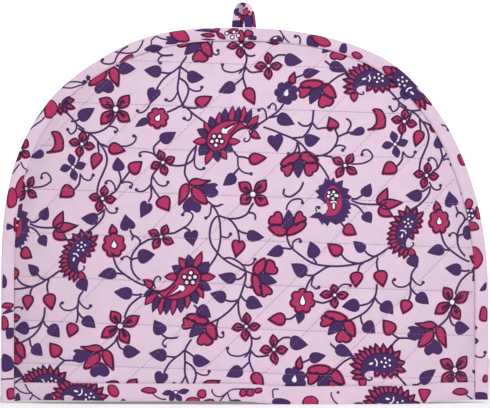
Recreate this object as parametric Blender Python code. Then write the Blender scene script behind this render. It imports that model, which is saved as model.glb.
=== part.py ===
"""Quilted cotton tea cosy, dome shaped, standing on its hem.

Two quilted panels, front and back, meet round the dome and down both sides, where one folded
strip binds their edges together. A band of the same cloth binds the lower edge of each panel,
and a folded tape on top of the dome is the hanging loop. The cosy is hollow and open below.

The front faces -Y, +X is the viewer's right, +Z is up, and the origin is on the table under
the middle. Sizes are in millimetres and MM turns them into Blender's metres."""

import math

import bmesh
import bpy
from mathutils import Vector
from mathutils.geometry import delaunay_2d_cdt

MM = 0.001

# The outline: a straight side wall below a dome, whose edge is a superellipse.
WIDTH = 330.0
HEIGHT = 254.0
WALL = 69.0
DOME_POWER = 2.5
HALF = WIDTH / 2
DOME = HEIGHT - WALL

# How the sewn cosy leans and how its hem waves. The shoulders lean to the viewer's left and the
# top leans less, sloping down to the right. The hem lifts off the table on the left and at the
# right corner: LEFT_LIFT has the places where it starts to rise, is up, starts to fall, is down.
LEAN = -3.5
LEAN_FROM, LEAN_TO = 75.0, 185.0
UPRIGHT = 0.6
UPRIGHT_FROM, UPRIGHT_TO = 205.0, 232.0
TOP_SLOPE = 0.022
SLOPE_FROM = 232.0
HEM_LIFT = 2.2
LIFT_HEIGHT = 45.0
LEFT_LIFT = (-165.0, -146.0, -5.0, 28.0)
RIGHT_LIFT = (118.0, 132.0)

# How the panels bow apart. The bow is greatest at the hem, where RIPPLE adds a soft wave.
BOW = 38.5
BOW_FLARE = 0.1
BOW_POWER = 0.9
RIPPLE = 1.1
RIPPLE_LENGTH = 118.0
RIPPLE_HEIGHT = 110.0

# Cloth thicknesses and the gap between neighbouring pieces.
GAP = 0.3
STRIP = 1.2
FLAT_EDGE = 1.9
STITCHED = 3.7
PUFF = 1.5
PUFF_POWER = 0.6
PUFF_RAMP = 12.0
HEM_TUCK = 1.4
HEM_PAD = 2.2

# The strips that bind the edges.
BINDING = 8.8
HEM_BAND = 12.2
BINDING_ROUND = 0.8
HALF_FLANGE = GAP / 2 + FLAT_EDGE + GAP + STRIP

# Quilting: stitched rows that run nearly level, and stitched lines that rise at 45 degrees.
ROW_PITCH = 29.7
ROW_FIRST = 21.3
ROW_SLOPE = math.tan(math.radians(2.0))
RISE_PITCH = 42.9
RISE_FIRST = 7.2

# The hanging loop, a folded tape that leaves the top as two legs, one before the other.
TAPE_WIDTH = 8.0
TAPE_THICK = 1.6
LOOP_HEIGHT = 17.3
LEG_APART = 6.5
FRONT_LEG_X = 5.3
BACK_LEG_X = -3.2
LOOP_PEAK_X = 0.0
LEG_DRAW_IN = 0.35

# How finely the solids are divided.
DOME_STEPS = 44
WALL_STEPS = 4
HEM_STEPS = 36
OUTER_CELLS = 4
INNER_CELLS = 2
LEG_STEPS = 4
TURN_STEPS = 10

PANEL_EDGE = STRIP + GAP
SEAM = BINDING + GAP
HEM_LINE = HEM_BAND + GAP


def smooth(t):
    """0 below 0, 1 above 1, and an even S between."""
    t = min(max(t, 0.0), 1.0)
    return t * t * (3 - 2 * t)


def hem_lift(x):
    """How far the hem stands off the table at x."""
    rise, crest, ebb, floor = LEFT_LIFT
    left = smooth((x - rise) / (crest - rise)) - smooth((x - ebb) / (floor - ebb))
    right = smooth((x - RIGHT_LIFT[0]) / (RIGHT_LIFT[1] - RIGHT_LIFT[0]))
    return HEM_LIFT * (left + right)


def settled(x, y, z):
    """A point of the even shape, moved to where it sits in the cosy as it was sewn."""
    upright = UPRIGHT * smooth((z - UPRIGHT_FROM) / (UPRIGHT_TO - UPRIGHT_FROM))
    lean = LEAN * smooth((z - LEAN_FROM) / (LEAN_TO - LEAN_FROM)) * (1 - upright)
    slope = -TOP_SLOPE * x * smooth((z - SLOPE_FROM) / (HEIGHT - SLOPE_FROM))
    lift = hem_lift(x) * (1 - smooth(z / LIFT_HEIGHT))
    return Vector((x + lean, y, z + slope + lift)) * MM


def level(x, z, inset):
    """The superellipse's level at a point: 0 in the middle and 1 on the edge drawn in by inset."""
    up = max(z - WALL, 0.0) / (DOME - inset)
    return (abs(x) / (HALF - inset)) ** DOME_POWER + up**DOME_POWER


def edge_distance(x, z):
    """About how far a point lies inside the cosy's outer edge."""
    rim = level(x, z, 0.0) ** (1 / DOME_POWER)
    if rim < 0.01:
        return HALF
    up = max(z - WALL, 0.0)
    across = abs(x) ** (DOME_POWER - 1) / HALF**DOME_POWER
    along = up ** (DOME_POWER - 1) / DOME**DOME_POWER
    return (1 - rim) * rim ** (DOME_POWER - 1) / math.hypot(across, along)


def bow(x, z):
    """How far a panel's inner face stands off the middle plane."""
    crown = BOW * (1 + BOW_FLARE * (1 - z / HEIGHT))
    wave = RIPPLE * math.cos(2 * math.pi * x / RIPPLE_LENGTH) * (1 - smooth(z / RIPPLE_HEIGHT))
    inside = max(0.0, 1 - level(x, z, SEAM))
    return (crown + wave) * inside**BOW_POWER


def pillow(x, z):
    """The quilting's height, 0 on a stitched line and 1 in the middle of a cell."""
    row = (z + ROW_SLOPE * x - ROW_FIRST) / ROW_PITCH % 1
    rise = (z - x - RISE_FIRST) / RISE_PITCH % 1
    return (16 * row * (1 - row) * rise * (1 - rise)) ** PUFF_POWER


def inner_depth(x, z):
    """How far a panel's inner face lies from the middle plane, tucked in under its hem band."""
    filled = smooth((edge_distance(x, z) - SEAM) / PUFF_RAMP)
    tuck = HEM_TUCK * filled if z <= HEM_LINE + GAP else 0.0
    return GAP / 2 + bow(x, z) + tuck


def outer_depth(x, z):
    """How far a panel's outer face lies from the middle plane."""
    filled = smooth((edge_distance(x, z) - SEAM) / PUFF_RAMP)
    if z <= HEM_LINE + GAP:
        pad = HEM_PAD
    else:
        pad = STITCHED + PUFF * pillow(x, z)
    return inner_depth(x, z) + FLAT_EDGE + (pad - FLAT_EDGE) * filled


def stations(foot):
    """Points up the left side, over the dome and down the right, each with its inward direction."""
    heights = [foot] + [
        HEM_LINE + (WALL - HEM_LINE) * step / WALL_STEPS for step in range(WALL_STEPS)
    ]
    left = [(Vector((-HALF, z)), Vector((1, 0))) for z in heights]
    dome = []
    for step in range(DOME_STEPS + 1):
        angle = math.pi * step / DOME_STEPS
        across, up = math.cos(angle), abs(math.sin(angle))
        x = -HALF * math.copysign(abs(across) ** (2 / DOME_POWER), across)
        z = DOME * up ** (2 / DOME_POWER)
        steep = math.copysign((abs(x) / HALF) ** (DOME_POWER - 1) / HALF, x)
        inward = -Vector((steep, (z / DOME) ** (DOME_POWER - 1) / DOME)).normalized()
        dome.append((Vector((x, WALL + z)), inward))
    right = [(Vector((-p.x, p.y)), -inward) for p, inward in reversed(left)]
    return left + dome + right


def drawn_in(foot, inset):
    """The line that runs inside the outer edge at a fixed distance."""
    return [point + inward * inset for point, inward in stations(foot)]


def hem_places():
    """The places along the hem, from seam to seam."""
    reach = HALF - SEAM
    return [reach * (2 * step / HEM_STEPS - 1) for step in range(HEM_STEPS + 1)]


def quilt_points(cells):
    """Points on the quilting, cells of them to a pitch, and the edges that lie on stitched lines."""
    points, places = [], {}
    rows = math.ceil(HEIGHT / ROW_PITCH)
    rises = math.ceil((HEIGHT + HALF) / RISE_PITCH)
    for row in range(-cells, rows * cells + 1):
        for rise in range(-rises * cells, rises * cells + 1):
            level_z = ROW_FIRST + ROW_PITCH * row / cells
            rise_z = RISE_FIRST + RISE_PITCH * rise / cells
            x = (level_z - rise_z) / (1 + ROW_SLOPE)
            z = rise_z + x
            clear = ROW_PITCH / cells / 2
            if z > HEM_LINE + clear and edge_distance(x, z) > SEAM + clear:
                places[row, rise] = len(points)
                points.append(Vector((x, z)))
    edges = []
    for row, rise in places:
        if row % cells == 0 and (row, rise + 1) in places:
            edges.append((places[row, rise], places[row, rise + 1]))
        if rise % cells == 0 and (row + 1, rise) in places:
            edges.append((places[row, rise], places[row + 1, rise]))
    return points, edges


def panel_face(cells):
    """A panel's flat triangulation: its points, its triangles and the points of its rim in order."""
    over = drawn_in(PANEL_EDGE, PANEL_EDGE)
    hem = hem_places()
    along = [Vector((x, PANEL_EDGE)) for x in reversed(hem)]
    rim = over + along
    seam = drawn_in(PANEL_EDGE, SEAM)
    hem_line = [Vector((x, HEM_LINE)) for x in hem[1:-1]]
    quilt, quilt_edges = quilt_points(cells)
    points = rim + seam[1:-1] + hem_line + quilt
    seam_at = len(rim)
    hem_at = seam_at + len(seam) - 2
    quilt_at = hem_at + len(hem_line)
    edges = [(i, (i + 1) % len(rim)) for i in range(len(rim))]
    seam_ring = [len(rim) - 1] + list(range(seam_at, hem_at)) + [len(over)]
    edges += list(zip(seam_ring, seam_ring[1:]))
    hem_ring = [seam_at] + list(range(hem_at, quilt_at)) + [hem_at - 1]
    edges += list(zip(hem_ring, hem_ring[1:]))
    edges += [(a + quilt_at, b + quilt_at) for a, b in quilt_edges]
    flat, _, faces, sources, _, _ = delaunay_2d_cdt(points, edges, [], 1, 1e-5)
    where = {source: place for place, found in enumerate(sources) for source in found}
    return flat, faces, [where[i] for i in range(len(rim))]


def solid(name, corners, faces, material):
    """A closed mesh from settled corners, with its faces turned outwards."""
    mesh = bpy.data.meshes.new(name)
    mesh.from_pydata(corners, [], faces)
    work = bmesh.new()
    work.from_mesh(mesh)
    bmesh.ops.recalc_face_normals(work, faces=work.faces)
    bmesh.ops.triangulate(work, faces=work.faces)
    work.to_mesh(mesh)
    work.free()
    mesh.shade_smooth()
    mesh.set_sharp_from_angle(angle=math.radians(40))
    mesh.materials.append(material)
    piece = bpy.data.objects.new(name, mesh)
    bpy.context.scene.collection.objects.link(piece)
    return piece


def swept(name, sections, material):
    """A closed solid through sections that all have the same number of corners."""
    size = len(sections[0])
    corners = [corner for section in sections for corner in section]
    faces = []
    for step in range(len(sections) - 1):
        base = step * size
        for i in range(size):
            j = (i + 1) % size
            faces.append((base + i, base + j, base + size + j, base + size + i))
    faces.append(tuple(reversed(range(size))))
    faces.append(tuple(range(len(corners) - size, len(corners))))
    return solid(name, corners, faces, material)


def panel(name, side, material):
    """One quilted panel. The back one is the front one turned half round before it settles."""
    outer, outer_faces, outer_rim = panel_face(OUTER_CELLS)
    inner, inner_faces, inner_rim = panel_face(INNER_CELLS)
    corners = [settled(side * p.x, -side * outer_depth(p.x, p.y), p.y) for p in outer]
    corners += [settled(side * p.x, -side * inner_depth(p.x, p.y), p.y) for p in inner]
    inner_at = len(outer)
    faces = [tuple(face) for face in outer_faces]
    faces += [tuple(i + inner_at for i in reversed(face)) for face in inner_faces]
    for i, here in enumerate(outer_rim):
        j = (i + 1) % len(outer_rim)
        faces.append((here, outer_rim[j], inner_rim[j] + inner_at, inner_rim[i] + inner_at))
    return solid(name, corners, faces, material)


def binding(material):
    """The folded strip round the edge: a U of cloth that opens inwards."""
    lip = HALF_FLANGE - STRIP
    profile = [
        (BINDING_ROUND, -HALF_FLANGE),
        (BINDING, -HALF_FLANGE),
        (BINDING, -lip),
        (STRIP, -lip),
        (STRIP, lip),
        (BINDING, lip),
        (BINDING, HALF_FLANGE),
        (BINDING_ROUND, HALF_FLANGE),
        (0.0, HALF_FLANGE - BINDING_ROUND),
        (0.0, BINDING_ROUND - HALF_FLANGE),
    ]
    sections = []
    for point, inward in stations(0.0):
        places = [(point + inward * inset, y) for inset, y in profile]
        sections.append([settled(place.x, y, place.y) for place, y in places])
    return swept("edge_binding", sections, material)


def hem_band(name, side, material):
    """The strip round a panel's lower edge: a U of cloth that opens upwards. Beside the seams
    its inner fold stays under the panel, because the two panels leave no room between them."""
    places = hem_places()
    places[0] += GAP
    places[-1] -= GAP
    tucked, low, raised = range(3)
    sections = []
    for step, x in enumerate(places):
        kind = min(step, len(places) - 1 - step, raised)
        low_out = outer_depth(x, PANEL_EDGE) + GAP
        high_out = outer_depth(x, HEM_LINE) + GAP
        low_in = inner_depth(x, PANEL_EDGE) - GAP
        high_in = inner_depth(x, HEM_LINE) - GAP
        top = HEM_BAND if kind == raised else STRIP + GAP / 3
        if kind != raised:
            high_in = low_in
        if kind == tucked:
            low_in = high_in = low_in + STRIP + 2 * GAP
        profile = [
            (low_out + STRIP, 0.0),
            (high_out + STRIP, HEM_BAND),
            (high_out, HEM_BAND),
            (low_out, STRIP),
            (low_in, STRIP),
            (high_in, top),
            (high_in - STRIP, top),
            (low_in - STRIP, 0.0),
        ]
        sections.append([settled(side * x, -side * depth, z) for depth, z in profile])
    return swept(name, sections, material)


def hanging_loop(material):
    """The folded tape: up the front leg, over and down the back leg, drawn in towards the peak."""
    turn = LEG_APART / 2
    foot = HEIGHT + GAP
    shoulder = HEIGHT + LOOP_HEIGHT - TAPE_THICK / 2 - turn
    path = []
    for step in range(LEG_STEPS):
        path.append((-turn, foot + (shoulder - foot) * step / LEG_STEPS, (1.0, 0.0)))
    for step in range(TURN_STEPS + 1):
        angle = math.pi * step / TURN_STEPS
        out = (math.cos(angle), -math.sin(angle))
        path.append((-turn * out[0], shoulder - turn * out[1], out))
    for step in range(LEG_STEPS):
        path.append((turn, shoulder - (shoulder - foot) * (step + 1) / LEG_STEPS, (-1.0, 0.0)))
    half_width, half_thick = TAPE_WIDTH / 2, TAPE_THICK / 2
    profile = [
        (half_width, 0.5 * half_thick),
        (0.6 * half_width, half_thick),
        (-0.6 * half_width, half_thick),
        (-half_width, 0.5 * half_thick),
        (-half_width, -0.5 * half_thick),
        (-0.6 * half_width, -half_thick),
        (0.6 * half_width, -half_thick),
        (half_width, -0.5 * half_thick),
    ]
    sections = []
    for y, z, out in path:
        climb = (z - foot) / (HEIGHT + LOOP_HEIGHT - foot)
        leg_x = FRONT_LEG_X if y < 0 else BACK_LEG_X
        along = abs(y) / turn if z > shoulder else 1.0
        held = along * (1 - LEG_DRAW_IN * smooth(climb))
        middle = LOOP_PEAK_X + (leg_x - LOOP_PEAK_X) * held
        sections.append(
            [
                settled(middle + across, y - out[0] * lift, z - out[1] * lift)
                for across, lift in profile
            ]
        )
    return swept("hanging_loop", sections, material)


def cloth(name, colour):
    """A plain woven cotton in one colour."""
    material = bpy.data.materials.new(name)
    material.use_nodes = True
    shader = material.node_tree.nodes["Principled BSDF"]
    shader.inputs["Base Color"].default_value = (*colour, 1.0)
    shader.inputs["Roughness"].default_value = 0.85
    shader.inputs["Metallic"].default_value = 0.0
    return material


def build():
    for piece in list(bpy.data.objects):
        bpy.data.objects.remove(piece)
    quilted = cloth("quilted_print", (0.62, 0.42, 0.55))
    strips = cloth("binding_print", (0.50, 0.28, 0.44))
    panel("front_panel", 1, quilted)
    panel("back_panel", -1, quilted)
    binding(strips)
    hem_band("front_hem_band", 1, strips)
    hem_band("back_hem_band", -1, strips)
    hanging_loop(strips)


build()
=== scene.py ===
"""Scene for the quilted cotton tea cosy: printed cloth, stitching and studio.

The printed pieces are cut along the edges of their print, so each triangle has one colour. The
print is drawn here from petals, leaves, lobes, dots and vines in millimetres, placed one by one in
one repeat, and the repeat is stepped over each panel. Sizes are in millimetres until MM turns
them into metres, and the front faces -Y."""

import math

import bpy
import numpy as np
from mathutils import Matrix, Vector
from mathutils.geometry import delaunay_2d_cdt


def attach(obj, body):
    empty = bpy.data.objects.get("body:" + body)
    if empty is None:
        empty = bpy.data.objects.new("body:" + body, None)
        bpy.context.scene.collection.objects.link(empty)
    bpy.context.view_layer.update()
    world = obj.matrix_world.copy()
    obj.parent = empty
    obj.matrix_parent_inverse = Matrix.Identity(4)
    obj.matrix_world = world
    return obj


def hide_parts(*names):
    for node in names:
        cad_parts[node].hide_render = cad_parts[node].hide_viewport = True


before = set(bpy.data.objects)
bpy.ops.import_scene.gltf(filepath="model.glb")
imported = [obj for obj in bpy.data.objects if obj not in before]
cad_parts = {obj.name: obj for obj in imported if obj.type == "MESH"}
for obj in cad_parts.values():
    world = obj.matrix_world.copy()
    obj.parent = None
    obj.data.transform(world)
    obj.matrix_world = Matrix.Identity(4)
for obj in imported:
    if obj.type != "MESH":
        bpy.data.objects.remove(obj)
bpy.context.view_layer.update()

MM = 0.001

# The shape, as the solids have it: half the width, the height and where the straight sides end.
HALF = 165.0
HEIGHT = 254.0
WALL = 69.0
DOME = HEIGHT - WALL
DOME_POWER = 2.5

# The dome leans to the left, stands up again at the top and slopes down to the right.
LEAN = -3.5
LEAN_FROM, LEAN_TO = 75.0, 185.0
UPRIGHT = 0.6
UPRIGHT_FROM, UPRIGHT_TO = 205.0, 232.0
TOP_SLOPE = 0.022
SLOPE_FROM = 232.0

# The hem stands off the table between these places.
HEM_LIFT = 2.2
LIFT_HEIGHT = 45.0
LEFT_LIFT = (-165.0, -146.0, -5.0, 28.0)
RIGHT_LIFT = (118.0, 132.0)

# How far the panels stand apart, and the soft wave along the hem.
BOW = 38.5
BOW_FLARE = 0.1
BOW_POWER = 0.9
RIPPLE = 1.1
RIPPLE_LENGTH = 118.0
RIPPLE_HEIGHT = 110.0

# The sewn layers: the gap between pieces, the strips and a panel's edge, seam and wadding.
GAP = 0.3
STRIP = 1.2
FLAT_EDGE = 1.9
STITCHED = 3.7
PUFF = 1.5
PUFF_POWER = 0.6
PUFF_RAMP = 12.0
HEM_TUCK = 1.4
HEM_PAD = 2.2
BINDING = 8.8
HEM_BAND = 12.2
HALF_FLANGE = GAP / 2 + FLAT_EDGE + GAP + STRIP

# The quilting's two families of stitched lines.
ROW_PITCH = 29.7
ROW_FIRST = 21.3
ROW_SLOPE = math.tan(math.radians(2.0))
RISE_PITCH = 42.9
RISE_FIRST = 7.2

# The hanging loop's folded tape.
TAPE_WIDTH = 8.0
TAPE_THICK = 1.6
LOOP_HEIGHT = 17.3
LEG_APART = 6.5
FRONT_LEG_X = 5.3
BACK_LEG_X = -3.2
LEG_DRAW_IN = 0.35

# A strip's two edges turn down towards the cloth, and it is a little uneven along its length.
TURN_DEPTH, TURN_WIDTH = 0.45, 0.7

PANEL_EDGE = STRIP + GAP
SEAM = BINDING + GAP
HEM_LINE = HEM_BAND + GAP

# The print's screens: which inks lie on a spot.
RED, INK, WHITE, CLEAR = 1, 2, 4, 8

# The cloth's flat sizes. The curved panel is wider and taller laid flat than it looks from the
# front by these amounts at its edge and its top.
FLAT_HALF, FLAT_WIDER = 155.9, 7.5
FLAT_TOP, FLAT_TALLER = 176.0, 5.3

# How far the print's repeat steps across and up the flat cloth. Lower down the step across is
# longer, because the cosy was cut slightly off the thread.
ACROSS, ACROSS_RISE = 221.5, 15.8
ACROSS_LONGER, LONGER_BELOW, LONGER_OVER = 8.0, 180.0, 130.0
UP_SHIFT, UP = -2.0, 194.8


def smooth(t):
    """0 below 0, 1 above 1, and an even S between."""
    t = np.clip(t, 0.0, 1.0)
    return t * t * (3 - 2 * t)


def hem_lift(x):
    """How far the hem stands off the table at x."""
    rise, crest, ebb, floor = LEFT_LIFT
    left = smooth((x - rise) / (crest - rise)) - smooth((x - ebb) / (floor - ebb))
    right = smooth((x - RIGHT_LIFT[0]) / (RIGHT_LIFT[1] - RIGHT_LIFT[0]))
    return HEM_LIFT * (left + right)


def settling(x, z):
    """How far a point of the even shape moves across and up in the cosy as it was sewn."""
    upright = UPRIGHT * smooth((z - UPRIGHT_FROM) / (UPRIGHT_TO - UPRIGHT_FROM))
    lean = LEAN * smooth((z - LEAN_FROM) / (LEAN_TO - LEAN_FROM)) * (1 - upright)
    slope = -TOP_SLOPE * x * smooth((z - SLOPE_FROM) / (HEIGHT - SLOPE_FROM))
    lift = hem_lift(x) * (1 - smooth(z / LIFT_HEIGHT))
    return lean, slope + lift


def settled(x, y, z):
    """Points of the even shape, moved to where they sit in the cosy, in metres."""
    across, up = settling(x, z)
    return np.stack([x + across, y + 0 * x, z + up], axis=1) * MM


def unsettled(seen):
    """The even shape's points for points seen from the front."""
    place = seen.copy()
    for _ in range(4):
        across, up = settling(place[:, 0], place[:, 1])
        place = np.stack([seen[:, 0] - across, seen[:, 1] - up], axis=1)
    return place


def widening(place):
    """How much farther out and up a point lies on the flat cloth than in the front view."""
    x, z = place[:, 0], place[:, 1]
    across = FLAT_WIDER * (np.minimum(np.abs(x), 175) / FLAT_HALF) ** 4
    up = FLAT_TALLER * (np.clip(z - WALL, 0, 190) / FLAT_TOP) ** 4
    return np.stack([np.sign(x) * across, up], axis=1)


def flattened(place):
    """Where points of the even shape lie on the flat cloth."""
    return place + widening(place)


def unflattened(flat):
    """The even shape's points for points on the flat cloth."""
    place = flat.copy()
    for _ in range(6):
        place = flat - widening(place)
    return place


def level(x, z, inset):
    """The superellipse's level: 0 in the middle and 1 on the edge drawn in by inset."""
    up = np.maximum(z - WALL, 0.0) / (DOME - inset)
    return (np.abs(x) / (HALF - inset)) ** DOME_POWER + up**DOME_POWER


def edge_distance(x, z):
    """About how far points lie inside the cosy's outer edge."""
    rim = np.maximum(level(x, z, 0.0) ** (1 / DOME_POWER), 0.01)
    up = np.maximum(z - WALL, 0.0)
    across = np.abs(x) ** (DOME_POWER - 1) / HALF**DOME_POWER
    along = up ** (DOME_POWER - 1) / DOME**DOME_POWER
    steep = np.maximum(np.hypot(across, along), 1e-9)
    return np.minimum((1 - rim) * rim ** (DOME_POWER - 1) / steep, HALF)


def bow(x, z):
    """How far a panel's inner face stands off the middle plane."""
    crown = BOW * (1 + BOW_FLARE * (1 - z / HEIGHT))
    wave = RIPPLE * np.cos(2 * math.pi * x / RIPPLE_LENGTH) * (1 - smooth(z / RIPPLE_HEIGHT))
    return (crown + wave) * np.maximum(0.0, 1 - level(x, z, SEAM)) ** BOW_POWER


def pillow(x, z):
    """The quilting's height, 0 on a stitched line and 1 in the middle of a cell."""
    row = (z + ROW_SLOPE * x - ROW_FIRST) / ROW_PITCH % 1
    rise = (z - x - RISE_FIRST) / RISE_PITCH % 1
    return (16 * row * (1 - row) * rise * (1 - rise) + 0.004) ** PUFF_POWER


def creasing(x, z):
    """Small unevenness of the wadding and soft creases beside the stitching, in millimetres."""
    swell = np.sin(x / 17.0 + 1.3 * np.sin(z / 23.0)) * np.sin(z / 19.0 + 0.8 * np.sin(x / 29.0 + 1))
    drag = np.sin((x + 0.6 * z) / 5.3 + 2 * np.sin(z / 31.0)) * np.sin(x / 41.0 + z / 37.0)
    return 0.28 * swell + 0.10 * drag


def inner_depth(x, z):
    """How far a panel's lining lies from the middle plane."""
    filled = smooth((edge_distance(x, z) - SEAM) / PUFF_RAMP)
    tuck = HEM_TUCK * filled * (1 - smooth((z - HEM_LINE) / 2.5))
    return GAP / 2 + bow(x, z) + tuck


def outer_depth(x, z):
    """How far a panel's outer face lies from the middle plane."""
    filled = smooth((edge_distance(x, z) - SEAM) / PUFF_RAMP)
    above = smooth((z - HEM_LINE) / 2.5)
    puffed = STITCHED + PUFF * pillow(x, z) + creasing(x, z)
    pad = HEM_PAD + (puffed - HEM_PAD) * above
    return inner_depth(x, z) + FLAT_EDGE + (pad - FLAT_EDGE) * filled


def outline(foot, inset, steps):
    """Points up the left side, over the dome and down the right, drawn in by inset."""
    heights = np.linspace(foot, WALL, 12)[:-1]
    left = np.stack([np.full_like(heights, -HALF), heights], axis=1)
    inward_left = np.tile((1.0, 0.0), (len(heights), 1))
    angle = np.linspace(0, math.pi, steps)
    across, up = np.cos(angle), np.abs(np.sin(angle))
    x = -HALF * np.sign(across) * np.abs(across) ** (2 / DOME_POWER)
    z = DOME * up ** (2 / DOME_POWER)
    steep = np.sign(x) * (np.abs(x) / HALF) ** (DOME_POWER - 1) / HALF
    inward = -np.stack([steep, (z / DOME) ** (DOME_POWER - 1) / DOME], axis=1)
    inward /= np.linalg.norm(inward, axis=1)[:, None]
    dome = np.stack([x, WALL + z], axis=1)
    right = left[::-1] * (-1, 1)
    edge = np.concatenate([left, dome, right])
    facing = np.concatenate([inward_left, inward, -inward_left])
    return edge + facing * inset, facing


# Drawing


def curve(points, closed=False, pitch=1.0):
    """A smooth line through the points, in steps of about pitch."""
    points = np.asarray(points, dtype=float)
    if closed:
        padded = np.concatenate([points[-1:], points, points[:2]])
    else:
        first = 2 * points[0] - points[1]
        last = 2 * points[-1] - points[-2]
        padded = np.concatenate([[first], points, [last]])
    line = []
    for a, b, c, d in zip(padded, padded[1:], padded[2:], padded[3:]):
        steps = max(1, math.ceil(np.linalg.norm(c - b) / pitch))
        t = (np.arange(steps) / steps)[:, None]
        bend = 2 * b + (c - a) * t + (2 * a - 5 * b + 4 * c - d) * t**2
        line.append((bend + (3 * b - a - 3 * c + d) * t**3) / 2)
    if not closed:
        line.append(points[-1:])
    return np.concatenate(line)


def turned(points, place, turn=0.0, scale=1.0, flip=1):
    """Local points turned by an angle in degrees, scaled and moved to place."""
    points = np.asarray(points, dtype=float) * scale * (flip, 1)
    c, s = math.cos(math.radians(turn)), math.sin(math.radians(turn))
    return points @ np.array([[c, s], [-s, c]]) + place


# Half outlines of petals and leaves: along from base 0 to tip 1, across as a share of the width.
HALF_LEAF = [(0, 0), (0.03, 0.24), (0.14, 0.43), (0.34, 0.5), (0.6, 0.38), (0.84, 0.17), (1, 0)]
HALF_HEART = [
    (0.1, 0), (0.03, 0.1), (0.0, 0.24), (0.08, 0.42), (0.26, 0.5), (0.5, 0.41), (0.78, 0.18), (1, 0)
]
HALF_PETAL = [(0, 0), (0.12, 0.18), (0.36, 0.43), (0.58, 0.5), (0.8, 0.32), (1, 0)]
HALF_TONGUE = [(0, 0.34), (0.25, 0.48), (0.55, 0.44), (0.82, 0.22), (1, 0)]
HALF_DROP = [(0, 0), (0.04, 0.28), (0.2, 0.47), (0.42, 0.46), (0.75, 0.2), (1, 0)]


def blade(half_outline, base, tip, width, bend=0.0):
    """A closed petal or leaf outline from base to tip. bend curves its tip to one side."""
    base, tip = np.asarray(base, dtype=float), np.asarray(tip, dtype=float)
    axis = tip - base
    length = np.linalg.norm(axis)
    side = np.array([-axis[1], axis[0]]) / length
    half = np.asarray(half_outline, dtype=float) * (length, width)
    half = curve(half, pitch=1.1)
    both = np.concatenate([half, (half * (1, -1))[::-1][1:]])
    if abs(both[-1][1]) < 0.01:
        both = both[:-1]
    share = both[:, 0] / length
    sideways = both[:, 1] + bend * width * (share**2 - share)
    return base + share[:, None] * axis + sideways[:, None] * side


def disc(place, radius, stretch=1.0, turn=0.0):
    """A closed round or oval outline."""
    count = max(8, math.ceil(2 * math.pi * radius * max(stretch, 1) / 0.7))
    angle = np.arange(count) * 2 * math.pi / count
    points = np.stack([np.cos(angle) * radius * stretch, np.sin(angle) * radius], axis=1)
    return turned(points, place, turn)


# Widths of the printed lines, how far the red screen slipped, and how far it spreads.
OUTLINE = 1.25
VINE = 1.45
TENDRIL = 1.25
RED_SLIP = np.array([-0.15, -0.35])
SPREAD = 0.45


def swollen(ring, by):
    """A closed outline moved outwards by a distance."""
    before, after = np.roll(ring, 1, axis=0), np.roll(ring, -1, axis=0)
    along = after - before
    length = np.maximum(np.linalg.norm(along, axis=1), 1e-6)[:, None]
    out = np.stack([along[:, 1], -along[:, 0]], axis=1) / length
    area = np.sum(ring[:, 0] * after[:, 1] - after[:, 0] * ring[:, 1])
    return ring + out * by * math.copysign(1, area)


class Artwork:
    """Shapes to print. Each is its screen, its points and half its width, 0 for a filled shape."""

    def __init__(self):
        self.shapes = []

    def fill(self, screen, ring):
        self.shapes.append((screen, np.asarray(ring, dtype=float), 0.0))

    def line(self, points, width=VINE, screen=INK, dot=False):
        points = np.asarray(points, dtype=float)
        self.shapes.append((screen, points, width / 2))
        if dot:
            self.fill(INK, disc(points[-1], 1.25))

    def red(self, ring, outline=OUTLINE):
        """A red shape with an ink outline. The red screen slipped a little against the ink."""
        self.fill(RED, swollen(ring, SPREAD) + RED_SLIP)
        closed = np.concatenate([swollen(ring, -outline / 2 + 0.15), ring[:1]])
        closed[-1] = closed[0]
        self.line(closed, outline)

    def plum(self, ring):
        self.fill(INK, ring)

    def white(self, ring, ink=0.75):
        """A white reserve with an ink rim."""
        self.fill(INK, swollen(ring, ink))
        self.fill(WHITE, ring)

    def leaf(self, screen, base, tip, width, heart=False, bend=0.25):
        ring = blade(HALF_HEART if heart else HALF_LEAF, base, tip, width, bend)
        if screen == RED:
            self.red(ring)
        else:
            self.plum(ring)

    def tongue(self, screen, tip, base, width):
        """One petal of a fringe."""
        ring = blade(HALF_TONGUE, base, tip, width, 0.2)
        if screen == RED:
            self.red(ring, 0.9)
        else:
            self.plum(ring)

    def moved(self, other, place, turn=0.0, scale=1.0, flip=1):
        """Another drawing, turned and put in place."""
        for screen, points, half in other.shapes:
            self.shapes.append((screen, turned(points, place, turn, scale, flip), half * scale))


# Flowers


STAR_WIDTH, BIG_STAR_WIDTH = 5.7, 7.8


def star(art, place, angles, reach, screen=RED, petal_width=STAR_WIDTH):
    """A four petal star flower with a white centre."""
    place = np.asarray(place, dtype=float)
    reaches = reach if isinstance(reach, (list, tuple)) else [reach] * len(angles)
    for angle, length in zip(angles, reaches):
        way = np.array([math.cos(math.radians(angle)), math.sin(math.radians(angle))])
        ring = blade(HALF_PETAL, place + way * 0.6, place + way * length, petal_width, 0.3)
        if screen == RED:
            art.red(ring)
            art.line([place + way * 1.5, place + way * length * 0.6], 1.3)
        else:
            art.plum(ring)
    art.white(disc(place, 1.0 if petal_width < BIG_STAR_WIDTH else 1.7), 0.9)


def big_star(art, place, angles, reaches):
    """A large four petal flower with two veins in each petal."""
    star(art, place, angles, reaches, petal_width=BIG_STAR_WIDTH)
    place = np.asarray(place, dtype=float)
    for angle, length in zip(angles, reaches):
        for lean in (-9, 9):
            turn = math.radians(angle + lean)
            way = np.array([math.cos(turn), math.sin(turn)])
            art.line([place + way * 3.2, place + way * length * 0.62], 0.8)


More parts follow.
